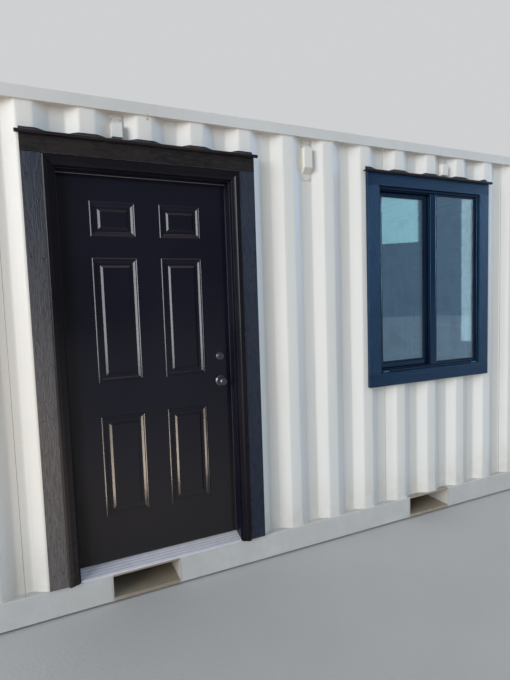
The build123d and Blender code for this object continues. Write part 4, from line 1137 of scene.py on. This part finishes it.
def add_cargo_bolts():
    bm = bmesh.new()
    half_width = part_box("end_wall")[1].y       # between the corner posts, the same at both ends
    for side in (-1, 1):
        for share, towards in ((0.25, 0.2), (0.75, -0.2)):
            y = side * share * half_width
            rod_fittings(bm, y, y + side * towards)
    low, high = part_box("cargo_door_hinges")
    for z in spread(low.z + 0.06, high.z - 0.06, 4):
        for y in both_ends(-high.y, high.y, 0.071, 0.116):
            for lift in (-0.022, 0.022):
                stud(bm, (CARGO_FACE + 0.01, y, z + lift), (1, 0, 0), 0.008, 0.006, 6)
    add_piece("cargo_bolts", bm, LOCK_GEAR, smooth=30)


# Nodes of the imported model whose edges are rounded: width, steps and names
ROUNDINGS = (
    (0.0020, 2, ("door_trim_sides", "door_trim_head", "window_trim_sides", "window_trim_head_and_sill")),
    (0.0018, 3, MOULDING),
    (0.0015, 2, ("door_jambs", "door_head_jamb", "fork_pocket_sides", "lock_rods", "cargo_door_hinges")),
    (0.0005, 2, ("door_sill",)),
    (0.0025, 3, ("window_frame_sides", "window_frame_head_and_sill")),
    (0.0024, 3, ("window_sashes",)),
    (0.0050, 3, ("corner_castings", "base_rails")),
    (0.0018, 2, ("top_rails", "end_headers")),
    (0.0028, 2, ("corner_posts",)),
    (0.0025, 2, ("end_sills",)),
    (0.0010, 2, ("fork_pocket_plates",)),
    (0.0012, 3, ("wall_vents",)),
)


def round_nodes():
    for width, segments, names in ROUNDINGS:
        for name in names:
            rounded(nodes[name], width, segments)


# Camera, light and floor

def add_camera():
    data = bpy.data.cameras.new("camera")
    data.lens = CAMERA_LENS
    data.sensor_width = SENSOR
    camera = bpy.data.objects.new("camera", data)
    camera.matrix_world = Matrix.Translation(CAMERA_PLACE)
    for angle, axis in ((-CAMERA_YAW, "Z"), (math.pi / 2 + CAMERA_PITCH, "X"), (CAMERA_ROLL, "Z")):
        camera.matrix_world = camera.matrix_world @ Matrix.Rotation(angle, 4, axis)
    bpy.context.scene.collection.objects.link(camera)
    bpy.context.scene.camera = camera


def aim(lamp, direction):
    lamp.rotation_mode = "QUATERNION"
    lamp.rotation_quaternion = Vector(direction).to_track_quat("-Z", "Y")
    bpy.context.scene.collection.objects.link(lamp)


def broad_sun(name, azimuth, elevation, spread_angle, strength, colour):
    """Soft parallel light from an azimuth, in degrees to the right of the front, and a height."""
    data = bpy.data.lights.new(name, "SUN")
    data.angle = math.radians(spread_angle)
    data.energy = strength
    data.color = colour
    a, e = math.radians(azimuth), math.radians(elevation)
    source = Vector((math.sin(a) * math.cos(e), -math.cos(a) * math.cos(e), math.sin(e)))
    lamp = bpy.data.objects.new(name, data)
    aim(lamp, -source)
    return lamp


def area_light(name, place, direction, size, power, colour):
    data = bpy.data.lights.new(name, "AREA")
    data.shape = "RECTANGLE"
    data.size, data.size_y = size
    data.energy = power
    data.color = colour
    lamp = bpy.data.objects.new(name, data)
    lamp.location = place
    lamp.visible_camera = False
    aim(lamp, direction)
    return lamp


def ground_light(name, x, y, size, power, colour):
    """A lit patch of ground before the cabin, to the left and turned towards the door."""
    lamp = area_light(name, (x, y, 0.03), (0, 0, 1), size, power, colour)
    lamp.rotation_quaternion = Quaternion((0, 0, 1), math.radians(-42)) @ lamp.rotation_quaternion
    return lamp


def softbox(name, target, azimuth, half_width, low, high, distance, radiance, colour):
    """A bright upright panel, seen from a target in a direction and between two heights in degrees."""
    x, y, z = target
    a = math.radians(azimuth)
    bottom, top = (z + distance * math.tan(math.radians(angle)) for angle in (low, high))
    width = 2 * distance * math.tan(math.radians(half_width))
    middle = Vector((x + distance * math.sin(a), y - distance * math.cos(a), (bottom + top) / 2))
    power = radiance * math.pi * width * (top - bottom)
    return area_light(name, middle, Vector((x, y, middle.z)) - middle, (width, top - bottom), power, colour)


def link_lamp(lamp, names, state="INCLUDE"):
    """Lets a lamp light some pieces only, or all but some, so that it draws just their highlights."""
    group = bpy.data.collections.new(lamp.name + "_pieces")
    for name in names:
        group.objects.link(nodes[name] if name in nodes else bpy.data.objects[name])
    for item in group.collection_objects:
        item.light_linking.link_state = state
    lamp.light_linking.receiver_collection = group


def add_daylight():
    """Pale light from the left, blue from the right and before the wall, a fill behind, warm ground."""
    broad_sun("key_left", -67, 15, 36, 2.9, (0.93, 0.965, 1.0))
    sky_right = broad_sun("sky_right", 80, 14, 30, 1.2, (0.45, 0.68, 1.0))
    link_lamp(sky_right, ("door_leaf", *MOULDING), "EXCLUDE")
    sky_front = broad_sun("sky_front", 15, 35, 70, 0.42, (0.6, 0.82, 1.0))
    link_lamp(sky_front, ("door_leaf", "double_panes", *MOULDING, *DOOR_LOCKS, *BLACK_TRIM), "EXCLUDE")
    broad_sun("back_fill", 165, 30, 40, 1.2, (1.0, 0.98, 0.95))
    warm = ground_light("warm_ground", -3.2, -3.6, (1.4, 3.0), 27, (1.0, 0.56, 0.16))
    link_lamp(warm, ("double_panes", "door_leaf"), "EXCLUDE")


def add_door_lights():
    """Panels that the door, its locks and the black trim reflect as lines."""
    door = (DOOR_MIDDLE, SLAB_FRONT, EYE_LEVEL)
    cool = (0.92, 0.97, 1.0)
    link_lamp(softbox("door_panel", door, -39, 8.5, -13, 24, 9.0, 14.0, cool), ("door_leaf", *DOOR_LOCKS))
    link_lamp(softbox("trim_panel", door, -39, 8.5, -13, 24, 9.0, 7.0, cool), BLACK_TRIM)
    link_lamp(ground_light("door_ground", -2.85, -3.45, (0.85, 3.3), 175, (1.0, 0.84, 0.66)), ("door_leaf",))
    link_lamp(softbox("beam_glow", door, 14, 22, 42, 62, 4.0, 1.5, (1.0, 0.7, 0.6)), ("door_leaf",))


def add_window_lights():
    """The pale patch and strip in the glass, and the blue sheen on glass and frame."""
    glass = ("double_panes",)
    sliding = (0.56, -1.17, EYE_LEVEL)
    fixed = (1.39, -1.2, EYE_LEVEL)
    window = (1.03, -1.2, EYE_LEVEL)
    link_lamp(softbox("sky_patch", sliding, 38.75, 8.2, 10.1, 20, 5.5, 2.1, (0.6, 0.95, 0.95)), glass)
    link_lamp(softbox("pale_post", fixed, 49, 0.83, -8.3, 19, 5.5, 1.6, (0.75, 0.92, 0.95)), glass)
    for name, radiance, colour, pieces in (("glass_panel", 0.75, (0.4, 0.66, 1.0), glass),
                                           ("blue_panel", 0.5, (0.05, 0.36, 1.0), WINDOW_BLACKS)):
        link_lamp(softbox(name, window, 45, 13, -13.5, 24, 6.2, radiance, colour), pieces)


def add_world():
    """Soft pale light all round, paler behind the cabin."""
    world = bpy.data.worlds.new("soft_light")
    world.use_nodes = True
    s = Shading(world.node_tree, "Generated")
    height = s.plus(s.times(s.axis("z"), 0.5), 0.5)
    stops = ((0.0, (0.2, 0.195, 0.19)), (0.5, (0.205, 0.21, 0.225)), (0.7, (0.25, 0.26, 0.28)))
    light = s.ramp(height, *stops, (1.0, (0.3, 0.31, 0.335)))
    backwards = s.vector_math("DOT_PRODUCT", (0, 1, 0))
    behind = s.band(backwards, math.cos(math.radians(110)), math.cos(math.radians(60)))
    s.feed(s.nodes["Background"].inputs["Color"], s.mix(behind, light, (0.62, 0.63, 0.64)))
    bpy.context.scene.world = world


def add_floor():
    """A wide pale floor, fine sand in look, which is not part of the object."""
    mesh = bpy.data.meshes.new("studio_floor")
    reach = 30.0
    corners = [(-reach, -reach, 0), (reach, -reach, 0), (reach, reach, 0), (-reach, reach, 0)]
    mesh.from_pydata(corners, [], [(0, 1, 2, 3)])
    floor = bpy.data.objects.new("studio_floor", mesh)
    bpy.context.scene.collection.objects.link(floor)
    s = Surface("studio_floor", Roughness=0.9)
    tone = s.mix(s.noise(1.6, 5, 0.6), (0.46, 0.435, 0.41), (0.52, 0.5, 0.475))
    mesh.materials.append(s.set(Base_Color=tone, Normal=s.bump(s.noise(60, 5, 0.6), 0.004, 0.3)))


dress_nodes()
add_walls()
add_welds()
add_seams()
add_nails()
add_sealant()
add_fillers()
add_door_leaf()
add_knobs()
add_roses()
add_thumb_turn()
add_keyway("deadbolt_keyway", "door", BOLT_LEVEL, 0.0151, 0.0169)
add_keyway("knob_keyway", "knob", KNOB_LEVEL, 0.0579, 0.0593)
add_lock_plates()
add_door_seals()
add_door_sweep()
add_hinge_screws()
add_panes()
add_sash_tracks()
add_weep_covers()
add_sash_latch()
add_vent_details()
add_cargo_gaskets()
add_cargo_bolts()
round_nodes()

bpy.context.scene.view_settings.view_transform = "Standard"
add_camera()
add_daylight()
add_door_lights()
add_window_lights()
add_world()
add_floor()
